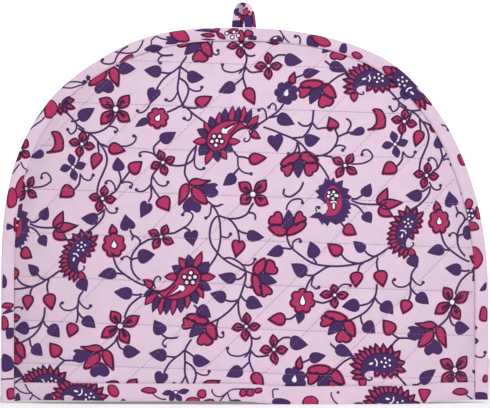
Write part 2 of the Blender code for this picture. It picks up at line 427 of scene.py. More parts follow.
def scallop(art, place, radius, turn, low=1.0, drop=1.0, screen=RED):
    """A round flower with seven lobes and a white drop in the middle."""
    lobes, count = 7, 56
    angle = np.arange(count) * 2 * math.pi / count
    reach = radius * (0.8 + 0.2 * np.abs(np.cos(lobes / 2 * angle)) ** 0.7)
    ring = np.stack([np.cos(angle) * reach, np.sin(angle) * reach * low], axis=1)
    ring = turned(ring, place, turn)
    if screen == RED:
        art.red(ring)
    else:
        art.plum(ring)
    ends = turned([(0, -2.6 * drop), (0, 3.4 * drop)], place, turn - 90)
    art.white(blade(HALF_DROP, ends[0], ends[1], 3.2), 0.9)


def bell_drawing():
    """A tulip-like flower, opening upwards from its base at the origin."""
    art = Artwork()
    left_lobe = [(-3, 3), (-2.6, 7), (-3.6, 10.6), (-6, 12), (-8.4, 11), (-9, 9.4), (-11, 8.6)]
    left_lobe += [(-12.4, 6), (-11.8, 3), (-8, 2.6)]
    right_lobe = [(4.6, 3), (4.6, 7), (6.6, 11), (8.8, 12.2), (10.6, 11), (10.8, 9.4)]
    right_lobe += [(12.8, 8), (13, 5.6), (10, 4.6), (7, 2)]
    heart = [(0, -0.6), (-2.6, 2), (-2.6, 6), (-1, 10), (1, 13), (3.2, 10.6), (4.8, 7), (4.6, 3)]
    left_low = [(0, -0.4), (-1.4, -4.2), (-5.6, -4.8), (-9.6, -2.6), (-12.6, 1.2), (-8.6, 2.8)]
    left_low += [(-4, 2.4)]
    right_low = [(-0.2, -4.2), (4, -4), (8.4, -2), (12, 1), (13.2, 4.4), (9, 4.8), (4, 2.8)]
    right_low += [(0.2, -0.4)]
    art.plum(curve(heart, closed=True))
    for petal in (left_lobe, right_lobe, left_low, right_low):
        art.red(curve(petal, closed=True))
    return art


def drooping_bell_drawing():
    """A flower seen from the side that hangs from its base at the origin."""
    art = Artwork()
    frill = [(7, -2.6), (14.5, -0.2), (18.4, -0.2), (20, -1.5), (18.3, -3.1), (20.1, -5.6)]
    frill += [(19.6, -8.2), (16.2, -10), (13, -9.4), (9, -6)]
    heart = [(1.8, -9), (4.4, -12), (8, -14.2), (8.8, -16.8), (7.5, -19.5), (5.2, -20.1)]
    heart += [(2.7, -18.6), (0, -19.6), (-2.4, -19.1), (-4, -16.8), (-3.4, -13.8), (-1, -10.8)]
    art.plum(curve(frill, closed=True))
    art.plum(curve(heart, closed=True))
    crest = [(0, 0.2), (2.4, 2.7), (5.4, 3.4), (9.8, 2.4), (15, 1.9), (13.4, 0.6), (10.2, -1.2)]
    crest += [(6.4, -2.4), (2, -1.9)]
    side = [(-1.2, -0.2), (-3.9, -1.2), (-5.8, -4.2), (-6.4, -9.4), (-6.3, -14.8), (-3.9, -12.8)]
    side += [(-1, -9.9), (0.7, -6), (1, -2.4)]
    middle = [(2.2, -2.6), (1.9, -7), (3.4, -9.9), (6.4, -12.4), (9.2, -13.9), (12.8, -14)]
    middle += [(12.6, -10.4), (10.6, -6.6), (7.7, -3.8), (4.8, -2.7)]
    for petal in (crest, side, middle):
        ring = curve(petal, closed=True)
        art.fill(CLEAR, ring)
        art.red(ring)
    return art


def fringe(art, petals):
    """Petals round a paisley, plum ones below and red ones over them."""
    for wanted in (INK, RED):
        for screen, tip, base, width in petals:
            if screen == wanted:
                art.tongue(screen, tip, base, width)


def red_paisley_drawing():
    """A comma of red with a fringe of petals. The origin is the middle of its rosette."""
    art = Artwork()
    fringe(art, [
        (RED, (-17.3, -0.6), (-7.5, -0.6), 5.8), (INK, (-14.7, 8.4), (-6.8, 3.4), 7),
        (RED, (-9.3, 14), (-5, 5.4), 5.4), (INK, (-5, 18), (-2.6, 9), 7.4),
        (RED, (2, 21), (1, 11), 5.2), (INK, (6, 24), (5, 13.4), 6.4),
        (RED, (11.6, 25.4), (9.9, 14.2), 4.9), (INK, (16, 25.2), (14.4, 14.6), 6),
        (RED, (20, 25.2), (18, 13.6), 5.2), (INK, (25.2, 23.6), (20.4, 12.4), 5.6),
        (RED, (30.2, 18.6), (22.8, 10.2), 6.2), (INK, (31.6, 13), (23.4, 8.4), 5.2),
        (RED, (17.1, -0.2), (8.4, -0.4), 5.2), (INK, (12.2, -8.1), (5.4, -3.4), 7),
        (RED, (7.3, -13.4), (3, -6.8), 5.6), (INK, (0.9, -16), (0.2, -7.4), 7),
        (RED, (-8.1, -17.4), (-3.6, -7.2), 5.2), (INK, (-13.2, -11), (-6.2, -3.8), 9),
    ])
    art.leaf(RED, (25, 6.4), (31.6, 1.6), 5.6)
    art.line(curve([(23.2, 7), (24.2, 2.8), (22.7, -0.2), (20.5, -0.8), (19.5, 0.5),
        (20.4, 1.8)]), 1.25)
    body = [
        (9.2, 0.5), (7.7, -3.2), (5, -6.2), (0.5, -7.8), (-4, -7), (-7, -4), (-7.9, 0),
        (-7, 4.3), (-4, 8.8), (0.5, 12.2), (5, 14.2), (11, 15.2), (16.3, 14.1), (21, 10.8),
        (24, 8.8), (20.2, 8.9), (17.1, 8.1), (13.4, 5.8), (10.7, 2.9),
    ]
    ring = curve(body, closed=True)
    art.fill(CLEAR, ring)
    art.red(ring)
    dots = [(0, 0), (-0.8, -3.4), (3.5, -0.6), (-3.6, -0.6), (2, 3.1), (-2.1, 3.1)]
    for place in dots[1:]:
        art.fill(INK, disc(place, 2.45))
    for place in dots:
        art.fill(WHITE, disc(place, 1.05 if place == (0, 0) else 1.2))
    almond = curve([(9.4, 4.6), (12.6, 8.4), (15.8, 12.6), (10.4, 11.6), (6, 9.4)])
    art.line(almond, 1.0)
    arrow = np.array([(7.2, 5), (3.8, 5.4), (3.3, 7.4), (4.6, 9.2), (6.2, 8.1), (12.6, 11.4),
        (7.6, 6.9)])
    art.fill(INK, swollen(arrow, 0.85))
    art.fill(WHITE, arrow)
    return art


def dark_paisley_drawing():
    """A dark comma with a fringe of red petals. The origin is the middle of its dots."""
    art = Artwork()
    petals = [
        ((-24, -9.6), (-16.4, -8.8)), ((-24.6, -5.8), (-16.6, -6)), ((-24.7, -0.6), (-16.4, -3)),
        ((-22.9, 3), (-15.4, -0.6)), ((-20.6, 6), (-14.2, 1.2)), ((-17.8, 8.2), (-12.4, 2.6)),
        ((-14.2, 10), (-10.2, 3.8)), ((-10.2, 10.8), (-7.6, 4.8)), ((-6.4, 12.3), (-4.4, 5.2)),
        ((-1, 12.4), (-0.8, 5.4)), ((4.7, 11.5), (2.8, 4.8)), ((10.7, 7.8), (5.4, 3.4)),
        ((13.2, 0.6), (7, 0)), ((13.2, -5.2), (6.6, -3.2)), ((7.2, -8.4), (5, -4.4)),
        ((2.7, -9.8), (2.4, -5)), ((-2.4, -9.8), (-1.4, -5.2)), ((-8.4, -8.8), (-5.4, -5)),
    ]
    halfway = [np.array(base) + 0.6 * (np.array(tip) - base) for tip, base in petals[:14]]
    art.plum(np.array(halfway + [(4, -3), (-14, -4)]))
    for tip, base in petals:
        ring = blade(HALF_TONGUE, base, tip, 4.1, 0.2)
        art.fill(CLEAR, ring)
        art.red(ring, 1.3)
    art.tongue(RED, (-16.9, -16.1), (-16.6, -9.6), 5.4)
    body = [
        (7.6, 0), (6.4, 3.5), (2.4, 5.2), (-3, 5.6), (-7.8, 4.9), (-11.9, 3.2), (-15.2, 0),
        (-16.9, -3.9), (-16.9, -8.6), (-15.8, -8), (-13.9, -6), (-10.5, -5.1), (-7.6, -5.6),
        (-4.4, -6), (0, -6.1), (3.8, -5.6), (6.8, -3.6),
    ]
    ring = curve(body, closed=True)
    art.fill(CLEAR, ring)
    art.plum(ring)
    for place in ((-0.4, 2.9), (2.6, 1.6), (-3, 0.5), (0, 0), (2.4, -1.7), (-1.3, -2.5)):
        art.fill(WHITE, disc(place, 0.75))
    art.line(curve([(-7, 2.2), (-6, 0), (-6.9, -2.2)]), 0.9, WHITE)
    art.fill(WHITE, disc((-10.1, -0.5), 0.7, 2.2, 15))
    art.line(curve([(-15.9, -8), (-14.8, -10), (-12.5, -11), (-10.5, -10.5), (-10.8, -9.3)]), 1.2)
    return art


def spiky_paisley_drawing():
    """A plum comma with a saw-toothed edge. The origin is the middle of its dots."""
    art = Artwork()
    teeth = [
        (-5, 12, -2.3, 9.4), (0.9, 12.2, 2, 8.6), (7.2, 10.4, 6.6, 5.6), (11.5, 4, 10, 1),
        (13.1, -0.9, 10.8, -3.4), (12.6, -8.8, 10.6, -9.9), (12.4, -12.3, 9.8, -12.6),
        (10.9, -15.3, 8.3, -15.1), (8.6, -17.2, 5.4, -18.5), (2.2, -20.1, -1.8, -17.9),
        (-3.4, -21, -6.1, -18.5), (-7, -20.3, -9.9, -15.8), (-16, -15, -11.4, -11.6),
    ]
    edge = []
    for tip_x, tip_z, notch_x, notch_z in teeth:
        edge.append((tip_x, tip_z))
        edge.append((notch_x, notch_z))
    hook = [(-8.8, -11.3), (-6.6, -12.9), (-4.8, -12), (-3.2, -8.6), (-4.3, -5.4), (-7.2, -6.3)]
    left = [(-8.6, -6.3), (-5.6, -5.2), (-8, -3), (-11.1, -1.7), (-9.3, 0), (-12.2, 2.9)]
    left += [(-9.2, 4.1), (-9.7, 6.3), (-6.4, 7.6)]
    art.plum(np.array(edge + hook[:5] + left))
    core = [
        (-4.5, -13.6), (-1.8, -13.8), (1.8, -12.9), (4.5, -10.4), (5.9, -7.2), (6.1, -3.6),
        (5.6, -0.5), (4.1, 3.1), (2.2, 5.4), (0.4, 6.3), (-1.4, 5.9), (-3.6, 3.6), (-5.4, 0.9),
        (-5.2, -1.8), (-4.1, -3.9), (-2.9, -8.6), (-3.4, -10.9),
    ]
    art.fill(CLEAR, curve(core, closed=True))
    art.fill(RED, curve(core, closed=True))
    art.plum(disc((0, 0.2), 4.5, 1.05))
    dots = [(-2.5, 1.8), (0.7, 2.2), (-0.7, 0.4), (-2.9, -0.7), (2, -0.1), (3, -0.3), (0.2, -2.3)]
    for place in dots:
        art.fill(WHITE, disc(place, 0.6 if place == (-0.7, 0.4) else 0.95))
    art.line([(-1.2, -4.4), (2.6, -4.5)], 2.2)
    art.line(curve([(-0.9, -4.6), (0.9, -4.2), (2.6, -4.8)]), 0.8, WHITE)
    art.white(disc((0.7, -7.2), 0.8, 2.6, 90), 0.9)
    curl = [(-10.8, -11), (-11.4, -9), (-10.6, -7.6), (-9.3, -8.3)]
    art.line(curve(curl), 1.0, dot=True)
    return art


BELL = bell_drawing()
DROOPING_BELL = drooping_bell_drawing()
RED_PAISLEY = red_paisley_drawing()
DARK_PAISLEY = dark_paisley_drawing()
SPIKY_PAISLEY = spiky_paisley_drawing()

# One repeat of the print, in the photo's front view: leaves as base, tip and width.
PLUM_LEAVES = [
    (-39, 221.5, -27, 220, 8.7), (-56, 224, -68.2, 225.4, 8.7), (-6.4, 215.4, -17.9, 210, 8.5),
    (27, 233.5, 39.5, 231, 9), (39.5, 221.8, 51.2, 224.4, 7), (22.2, 194, 34, 188.3, 9),
    (40.3, 177, 51.2, 179, 9), (-6.4, 154.4, -14.7, 147, 8), (-57, 177.5, -46, 183.4, 8.5),
    (57.5, 229, 69.6, 224, 8), (81, 185, 70.7, 181.5, 6), (80, 140, 85, 148.7, 8),
    (120, 141, 108.4, 140.8, 8.5), (1.4, 114.3, 13.5, 112.2, 8), (-31.7, 64.8, -22.3, 58.4, 10),
    (-54.6, 47.5, -60.8, 56.9, 9.5), (-12.5, 70.5, -23.4, 74.6, 8.3), (-5.7, 84.4, -18, 87.2, 8),
    (1.2, 70, 12.3, 65.6, 9.5), (41.3, 87, 31.1, 94.7, 9.5), (25.9, 105, 14.7, 100.5, 8),
    (46.9, 98.3, 44, 109.9, 9.3), (80.5, 128.7, 85.4, 121.6, 8), (80.9, 103.2, 73, 109.9, 7.5),
    (77.5, 66.3, 65.3, 65.6, 9.2), (92.2, 67.8, 100.2, 60.3, 9.5), (80.9, 55, 88, 47.5, 9.5),
    (111.7, 99.8, 116.6, 91.5, 9), (115.9, 73.5, 124.4, 66.9, 8.5), (135, 103.9, 123, 101.8, 8),
    (-72, 98.4, -60, 100.7, 10), (-75.4, 74.1, -88.2, 75.6, 8.7), (-64.8, 191.8, -74, 186.5, 5.5),
    (37.5, 62.6, 36, 53.7, 6.5),
]
PLUM_HEARTS = [
    (-59.8, 212.9, -63.6, 201.9, 9.3), (20, 181.5, 22, 169.5, 11), (-64.9, 136, -70.2, 125, 9),
    (-35.8, 117, -34.3, 106, 10), (-77.3, 117.2, -80.3, 128.1, 10.5),
]
RED_LEAVES = [
    (-33, 202.5, -21.7, 207.5, 8), (1, 213, 6.8, 201.8, 8.3), (3, 164.5, 15, 166, 8),
    (102.3, 160.7, 92.7, 155, 9.5), (-57.3, 139, -50.7, 130, 10), (27.7, 57.3, 15.7, 57.3, 8.7),
    (67, 119.6, 75.5, 114.4, 8.5), (65.5, 101.7, 55.9, 108.3, 8.5), (76.4, 89.2, 75, 78.7, 8.8),
    (90.3, 90, 93.5, 79, 9.4), (110.2, 70.1, 106.8, 60.8, 8.6), (99.7, 47.5, 93.3, 56.9, 9.5),
    (32, 216, 34, 224.4, 5.2), (130.2, 129.8, 129.4, 137.1, 5.5), (91, 134, 96.5, 146, 7.4),
    (91, 133.6, 107, 135.9, 7.4), (90.6, 132.6, 100.4, 126.4, 7.6),
]
RED_HEARTS = [(60.2, 184.8, 57, 193.8, 8.5), (-3.4, 110.5, -6, 98.6, 9.2)]

# Leaves whose best view is one step across to the left.
LEFT_PLUM_LEAVES = [
    (-81.8, 36.2, -69.8, 35.2, 9), (-84.4, 156.7, -85.7, 166.5, 8.6),
    (-112.2, 192.1, -101, 199.6, 8.8),
]
LEFT_RED_LEAVES = [
    (-98, 169.1, -102.1, 158, 7.8), (-91.6, 172.9, -80.1, 170.6, 8.3),
    (-76.9, 156.3, -68.8, 163.5, 9),
]

STARS = [
    (16.2, 228.2, (93, 3, -87, 183), 9.5), (-55, 162.7, (24, 107, 205, -75), 9),
    (67.7, 160.7, (57, 150, -33, -125), 10), (108, 190.5, (86, -10, -103, 169), 9),
    (-95.7, 138.4, (80, -1, -109, 172), 9.3), (-56.1, 112.6, (65, -24, -122, 155), 9.5),
    (1.1, 52.4, (88, 5, -92, 187), 9.8), (60.6, 73.5, (98, 4, -87, 178), (7.6, 9.6, 9, 10)),
]
BIG_STARS = [
    (5.6, 141.2, (139, 48, -31, -142), (12.6, 13.6, 12.4, 10.4)),
    (-83.7, 52.6, (121, 28, 211, -63), (12.1, 14.9, 15, 13.3)),
    (-87, 198.8, (147, 46, 226, -40), (13.4, 13.6, 14.4, 12.9)),
]
BELLS = [
    (28.5, 118, 0), (37.3, 165, 180), (51, 213, 153), (9.5, 86.5, -105), (-27.1, 53.2, 134),
    (65.9, 55, 135),
]

# The vines of one repeat, as places along each, in the photo's front view.
VINES = [
    [(-39.5, 234), (-43.3, 228), (-44.3, 220), (-45.2, 213), (-44.3, 208), (-41.8, 202),
     (-38.4, 199), (-34, 195), (-27, 190)],
    [(-43.3, 228), (-49.7, 223.3), (-55.7, 223.5)],
    [(-49.7, 223.3), (-55, 218.8), (-59, 213)],
    [(-43, 227), (-38.8, 224), (-37, 221.5)],
    [(-44.3, 220), (-40, 217), (-38, 213), (-38.4, 208.6), (-41.8, 202), (-46.7, 199),
     (-52, 196.6)],
    [(-41.8, 200), (-32.8, 199.4), (-31, 202)],
    [(0.8, 227.4), (-1, 220.7), (1, 213)],
    [(-1, 220), (-6.4, 215.4)],
    [(0.8, 227), (4.5, 223.7), (12, 224.4)],
    [(18.8, 232.7), (22.6, 235.3), (27, 235.5)],
    [(35.4, 220.3), (39.2, 221.8)],
    [(27.5, 204), (22.6, 197.3), (15, 192), (10.2, 188.7)],
    [(17.3, 193), (22, 194)],
    [(12.7, 186.6), (18.8, 184.5), (24.8, 182), (31.6, 179.2), (37.7, 175.5), (43, 169.5),
     (51.2, 160.5), (55.7, 153.7), (57, 150.4)],
    [(31.6, 179.2), (36, 179.4), (40, 180.4), (43.7, 185.3), (45.6, 189.8), (46.5, 197.3)],
    [(45.6, 189.8), (43, 187.5), (39.2, 187.5), (36.5, 189.4)],
    [(45.6, 189.8), (49, 185.6), (53, 186), (58, 186)],
    [(36, 176), (37.3, 168), (37.3, 165)],
    [(39.5, 149), (37, 144), (31, 139.7), (26.4, 141), (26.7, 144.6)],
    [(-7.2, 170), (-4.5, 166.8), (-0.8, 166.3), (3.4, 165)],
    [(-3.8, 158.7), (-7.2, 155)],
    [(-57, 177.4), (-61, 173), (-60.6, 168.7), (-58, 165)],
    [(-50.5, 161), (-44.4, 160.4), (-39, 161.6), (-34.6, 165), (-32.5, 173.5)],
    [(-32.4, 174), (-36.5, 169.1), (-38.7, 164.5), (-40.3, 156), (-38, 150)],
    [(-58, 159), (-62, 153.7), (-62.9, 147.4), (-62.7, 142.9), (-62.9, 139.7), (-64.5, 136.5)],
    [(-62.5, 147), (-60.2, 143), (-57.5, 139.3)],
    [(69.6, 223.8), (62.8, 220.6), (56.8, 216), (51.5, 211.5)],
    [(54.5, 231.5), (57.5, 229)],
    [(61, 184.8), (62.8, 180), (61.3, 174.6), (57.5, 170), (52.3, 167.5), (46.2, 167),
     (43.7, 167.6)],
    [(62.8, 180), (68.8, 182.5), (72, 183)],
    [(69.6, 183.7), (71.7, 188), (70.7, 191), (68.8, 192)],
    [(52.3, 167.5), (58.3, 166.4)],
    [(96.7, 212.7), (102, 207), (105, 203.3), (109.5, 200.2)],
    [(106.5, 182), (105, 178)],
    [(107, 170), (106, 164), (102.7, 160)],
    [(-28.5, 138.6), (-24, 135.9), (-21.9, 134), (-19.6, 131), (-17.7, 127.2), (-16.6, 122),
     (-16.2, 116.7), (-16.2, 110.7), (-17.4, 104.7), (-18.9, 100.2), (-21.1, 96.4),
     (-23.8, 92.7), (-26, 91)],
    [(-21.9, 134), (-19.6, 133.2), (-17.4, 133.5), (-15.5, 134.4)],
    [(-18.9, 126.1), (-20.8, 124.2), (-22.3, 121.2), (-23.2, 117.4), (-23.5, 113.7),
     (-23, 109.9), (-21.9, 106.9), (-20.4, 104.7), (-18.9, 102.8), (-17.4, 100.9), (-15.1, 98.7),
     (-12.1, 96.4), (-8.3, 94.1), (-4.6, 92.3), (-0.8, 90.2), (3.7, 88.5), (6.7, 87.4), (10, 86.5)],
    [(-17.7, 127), (-15.1, 126.1), (-11.4, 125), (-7.6, 124.8), (-3.8, 125.3), (0, 126.8),
     (2.2, 128.7), (3.7, 131.7), (5.6, 135.1)],
    [(2.2, 128.9), (5.2, 128.7), (7.1, 127.2), (7.3, 124.8)],
    [(-11.4, 125), (-8.7, 123.1), (-6.1, 119.7), (-4.6, 116.7), (-3.8, 112.9), (-3.5, 110.3)],
    [(-4.6, 117.4), (-2.3, 115.9), (1.4, 114.8)],
    [(-41.1, 118.7), (-38.8, 118.2), (-36.9, 116.8)],
    [(-33.9, 66.7), (-32, 64.8)],
    [(-55.7, 47.1), (-52.7, 44.9), (-49, 44.5), (-45.2, 44.9)],
    [(-12.5, 70.1), (-9.8, 69.3), (-6.8, 69.5), (-3.8, 70.8), (-2.7, 73.1)],
    [(-6.1, 84), (-3.8, 84.2), (-1.6, 85.5), (0.3, 88.1)],
    [(-12.9, 98.3), (-9.8, 98.5), (-6.1, 97.1), (-2.3, 94.5), (-0.1, 91.9), (0.8, 88.9),
     (0.8, 85.1), (-0.1, 81.4), (-1, 78.3), (-2, 75.3), (-2.9, 72.7), (-4.2, 70.1), (-6.8, 66.7),
     (-9.8, 63.3), (-12.9, 60.7), (-15.9, 58.4), (-18.9, 56.7), (-23.4, 54.7), (-26.4, 53.2)],
    [(-2.3, 73.1), (-0.8, 70.8), (1.4, 69.3)],
    [(-4.2, 70.1), (-4.2, 65.6), (-3.8, 61.8), (-2.7, 58), (-1.6, 55.8)],
    [(2.9, 48.9), (4.4, 45.2), (4.8, 41.5), (4.2, 38.5), (3.2, 35.9), (0.8, 32.2)],
    [(4.8, 45.2), (6.7, 44.1), (9.3, 44.3), (10.5, 45.2)],
    [(41.3, 87), (44.3, 86.6), (46.9, 87), (51.6, 90), (54.6, 91.9), (56.8, 92.6)],
    [(46.9, 87), (44.7, 84.4), (42.8, 81.4), (41.3, 77.6), (40.5, 75.3)],
    [(47.7, 69.3), (52.3, 68.2), (55.3, 68.9), (58.3, 70.1)],
    [(28.1, 57.3), (30.8, 57.6), (33, 58.8), (34.5, 60.3)],
    [(28.3, 117.4), (28.5, 114.4), (28.9, 110.7), (30.4, 106.9), (33, 103.9), (36.8, 100.9),
     (41.3, 97.5), (45, 95.3), (48.8, 94), (52.3, 93.4), (56.8, 93), (61.4, 92.8), (65.9, 93),
     (70.4, 93.5), (74.9, 94.3), (79.4, 95.3), (83.9, 97.1), (87.7, 99.3), (91.4, 101.3),
     (95.2, 103.9), (97.4, 105.4)],
    [(25.9, 105), (28.5, 104.8), (31.1, 104.3)],
    [(46.5, 97.9), (48, 95.6)],
    [(72.6, 138.3), (75.1, 138.1), (77.4, 139.3), (79.2, 140.6)],
    [(72.2, 137), (75.1, 135.8), (78.3, 134.9), (83.7, 134.4), (89.9, 134.4)],
    [(71, 134.9), (73.7, 134.3), (76.5, 132.7), (78.3, 130.9), (80.1, 128.4)],
    [(64.7, 122.3), (67, 119.6)],
    [(65.1, 100.9), (67, 98.3), (69.6, 96.4), (72.6, 95.3), (76.4, 94.7)],
    [(80.9, 103.2), (83.2, 100.9), (86.2, 99.5), (89.2, 99.5)],
    [(76.4, 89.6), (76.8, 91.5), (77.9, 93.8), (79.8, 94.9)],
    [(89.9, 90), (89.2, 92.6), (89, 95.6), (89.9, 98.6)],
    [(89, 80.2), (88.8, 76.8), (88, 73.1), (86.2, 70.4), (83.2, 67.8), (79.4, 66.7), (77.5, 66.3)],
    [(87.7, 71.9), (89.5, 68.9), (91.8, 67.1)],
    [(88, 73.1), (86.5, 68.6), (83.9, 64.8), (80.9, 61.8), (77.9, 59.9), (74.1, 58),
     (70.4, 56.5), (66.2, 55.4)],
    [(77.9, 59.9), (78.3, 57.3), (79, 54.7), (80.2, 53.2)],
    [(115.1, 91.5), (113.2, 88.9), (112.3, 85.9), (112.1, 82.9), (111.7, 79.9), (112, 76.8),
     (111.7, 73.1), (110.8, 70.4)],
    [(112, 78), (114, 75.3), (116.6, 73.1)],
    [(99.7, 47.1), (102, 45.3), (104.2, 44.4), (108, 44.4), (111.4, 44.1)],
    [(104.2, 44.4), (101.6, 42.3), (99.7, 40), (98.6, 37.7)],
    [(131.9, 117.1), (132.8, 114.4), (133.9, 110.7), (135.8, 106.9), (138.8, 103.9),
     (142.6, 100.9), (147.1, 97.9), (151.6, 95.8)],
    [(135.4, 103.8), (139.2, 103.5)],
    [(-51.6, 114.7), (-47.4, 115.2), (-43.7, 117.1), (-40.7, 118.9)],
]

# Tendrils end in a dot.
TENDRILS = [
    [(-64, 202), (-65.5, 199.3), (-68.5, 196.7), (-71.5, 196.5), (-72.3, 197.6)],
    [(-38, 213), (-34, 211), (-30, 211.2), (-28.8, 213.5)],
    [(-45.2, 210), (-47.8, 205.6), (-50.5, 204), (-53, 205)],
    [(-36.5, 197.3), (-35.8, 193.6), (-38, 191), (-40.7, 192.4)],
    [(0.8, 227), (-6.8, 223.8), (-12.8, 224.4), (-15, 226.7), (-14.9, 228.8)],
    [(21, 198), (21, 201), (18.8, 202.6), (16.4, 200)],
    [(14.7, 192), (14.3, 196.6), (12, 199.2), (9.6, 198)],
    [(35.4, 176), (34.6, 171.7), (32.4, 168.7), (29.6, 168.5)],
    [(-4.5, 166.8), (-4.5, 162), (-3.8, 159), (-0.8, 156), (4.4, 155)],
    [(-59.6, 166.8), (-61.9, 168.7), (-65.6, 169.8), (-69, 169.8), (-70.9, 168.7), (-70.3, 167.2)],
    [(-33, 172), (-33.8, 162.3), (-32, 158.7), (-29.3, 157.8), (-27.4, 158.7)],
    [(-62, 153.7), (-60.2, 150.5), (-57.9, 147.8), (-54.8, 146.7), (-52.5, 147.4), (-51.6, 149.3)],
    [(-63.4, 147.6), (-65.6, 145), (-68.6, 143.2), (-71.7, 143.2), (-72.8, 144.3)],
    [(60.2, 173), (64, 174.3), (68, 173), (66.2, 171)],
    [(72.6, 161.5), (80, 162.2), (85.4, 165), (86, 168), (83, 171.2), (79.7, 170.5), (79.2, 168)],
    [(104.6, 204), (103.8, 199.5), (100.5, 197.2), (98.2, 200.2)],
    [(107.2, 169.7), (109.5, 167), (113.3, 166.4), (115.3, 169.7)],
    [(-22.2, 134), (-22.5, 131.7), (-23, 128.7), (-24.1, 126.5), (-26, 125.3)],
    [(-16.2, 113.7), (-15.1, 112.8), (-12.1, 112), (-10.2, 112.9), (-9.4, 114.5)],
    [(-40.7, 118.9), (-38, 120.8), (-35.8, 123.8), (-34.7, 126.5), (-35.4, 128.3),
     (-37.7, 129.6), (-40.3, 129.6), (-41.6, 127.5)],
    [(-51.2, 44.9), (-54.2, 43), (-55.1, 40.4), (-53.5, 39)],
    [(-17.4, 57.3), (-18.5, 54.3), (-18.9, 49.8), (-18, 46.4), (-15.9, 44.9), (-14, 46),
     (-14.6, 48.2)],
    [(-0.1, 93.8), (2.9, 93.5), (5.6, 94.9), (7, 97.5)],
    [(0.1, 80.6), (1.8, 78.7), (4.3, 78.8)],
    [(46.5, 85.9), (45.4, 82.9), (45, 80.2), (46.9, 78.3), (48.8, 77.6), (49.9, 78.7)],
    [(28.1, 131), (28.9, 134), (31.5, 137), (35.3, 138.1), (38.3, 137.6), (39, 135.5)],
    [(32.6, 104.7), (32.3, 107.7), (33.4, 109.9), (35.6, 111.1), (37.5, 111.1), (37.6, 109.5)],
    [(62.9, 77.2), (64.4, 79.5), (67, 80.7), (69.6, 80.6), (71.1, 80)],
    [(112.1, 82.9), (110.6, 80.6), (108, 79.1), (104.6, 78.7), (101.6, 79.7), (99.8, 81.7),
     (99.8, 83.2), (101, 83.8)],
    [(112.6, 85.1), (114.4, 82.5), (116.6, 80.6), (118.9, 80), (120.4, 81.8)],
]

# The same for what is seen best one step across to the left.
LEFT_VINES = [
    [(-112.2, 185.6), (-109.2, 183.9), (-105.4, 182.7), (-101.7, 182.7), (-97.9, 183.5),
     (-94.1, 185.4), (-91.1, 188), (-88.5, 191), (-87, 194.4)],
    [(-112.2, 191.8), (-114.4, 190.6), (-117.4, 190.6)],
    [(-105.2, 181.9), (-105.6, 178.9), (-107.1, 175.9)],
    [(-104, 181.5), (-101.7, 180), (-98.7, 176.6), (-95.7, 172.9), (-93.5, 168.7),
     (-92.7, 164.6), (-93.5, 160.1), (-95.7, 154.8), (-98, 149.6), (-99.1, 145), (-99.3, 141.3)],
    [(-99.1, 176.6), (-98.7, 172.9), (-98.3, 169.5)],
    [(-96.5, 175.1), (-92, 173)],
    [(-84.8, 157.4), (-84.1, 154.8), (-83.3, 151.8), (-83.7, 148.8), (-85.2, 145.8),
     (-87.1, 143.2), (-90.5, 140.9)],
    [(-77.3, 156.7), (-79.9, 153.3), (-82.2, 150.3), (-83.7, 148.4)],
    [(-94.6, 130), (-95, 127), (-96.8, 124), (-99.5, 121), (-102.5, 118.3), (-106.2, 116.1),
     (-108.1, 114.9)],
    [(-100.6, 127.4), (-98, 128.1), (-94.6, 130.7)],
    [(-76.9, 116.8), (-75.4, 113.8), (-72.8, 112.7), (-70.8, 110.8), (-70.2, 108.9),
     (-70.5, 107.4), (-72.4, 105.2), (-74.7, 102.2), (-76.2, 98.4), (-76.3, 94.7), (-75.8, 90.9),
     (-73.9, 87.1), (-70.9, 84.1)],
    [(-72.8, 112.6), (-74.7, 112.9), (-75.8, 110.8)],
    [(-70.2, 107.4), (-67.1, 109.3), (-64.1, 110.8), (-60.4, 111.2)],
    [(-72.4, 98.3), (-75, 97.7), (-76.2, 96.5)],
    [(-80.7, 58.4), (-79.5, 62.1), (-76.9, 66.6), (-73.2, 70), (-69.4, 72.6)],
    [(-75.4, 73.8), (-72.4, 73.5), (-69.4, 74)],
    [(-85.6, 45.6), (-87.4, 41.8), (-91.6, 38), (-95, 36.2)],
    [(-85.8, 44.8), (-85.2, 41.1), (-83.7, 38), (-81.1, 36.7)],
]
LEFT_TENDRILS = [
    [(-91.5, 187.2), (-88.9, 186.9), (-86.2, 185.7), (-85.5, 184.2), (-87.2, 183.3)],
    [(-82.9, 173.6), (-79.2, 173.8), (-75.8, 175.1), (-73.5, 177.7), (-73.3, 180.4),
     (-74.7, 180.6)],
    [(-82.9, 148.8), (-79.9, 149.6), (-76.9, 149.2), (-75.4, 147.7), (-76.7, 146)],
    [(-87.1, 143.5), (-87.4, 146.5), (-88.6, 148.8), (-90.5, 150.3), (-92.7, 150.3),
     (-93.3, 148.9)],
    [(-94.2, 133.8), (-93.1, 131.5), (-91.2, 129.2), (-88.6, 128.5), (-86.3, 129.2), (-86, 131.5)],
    [(-76.5, 97.3), (-78.4, 99.2), (-80.7, 99.3), (-82.5, 97.8)],
]


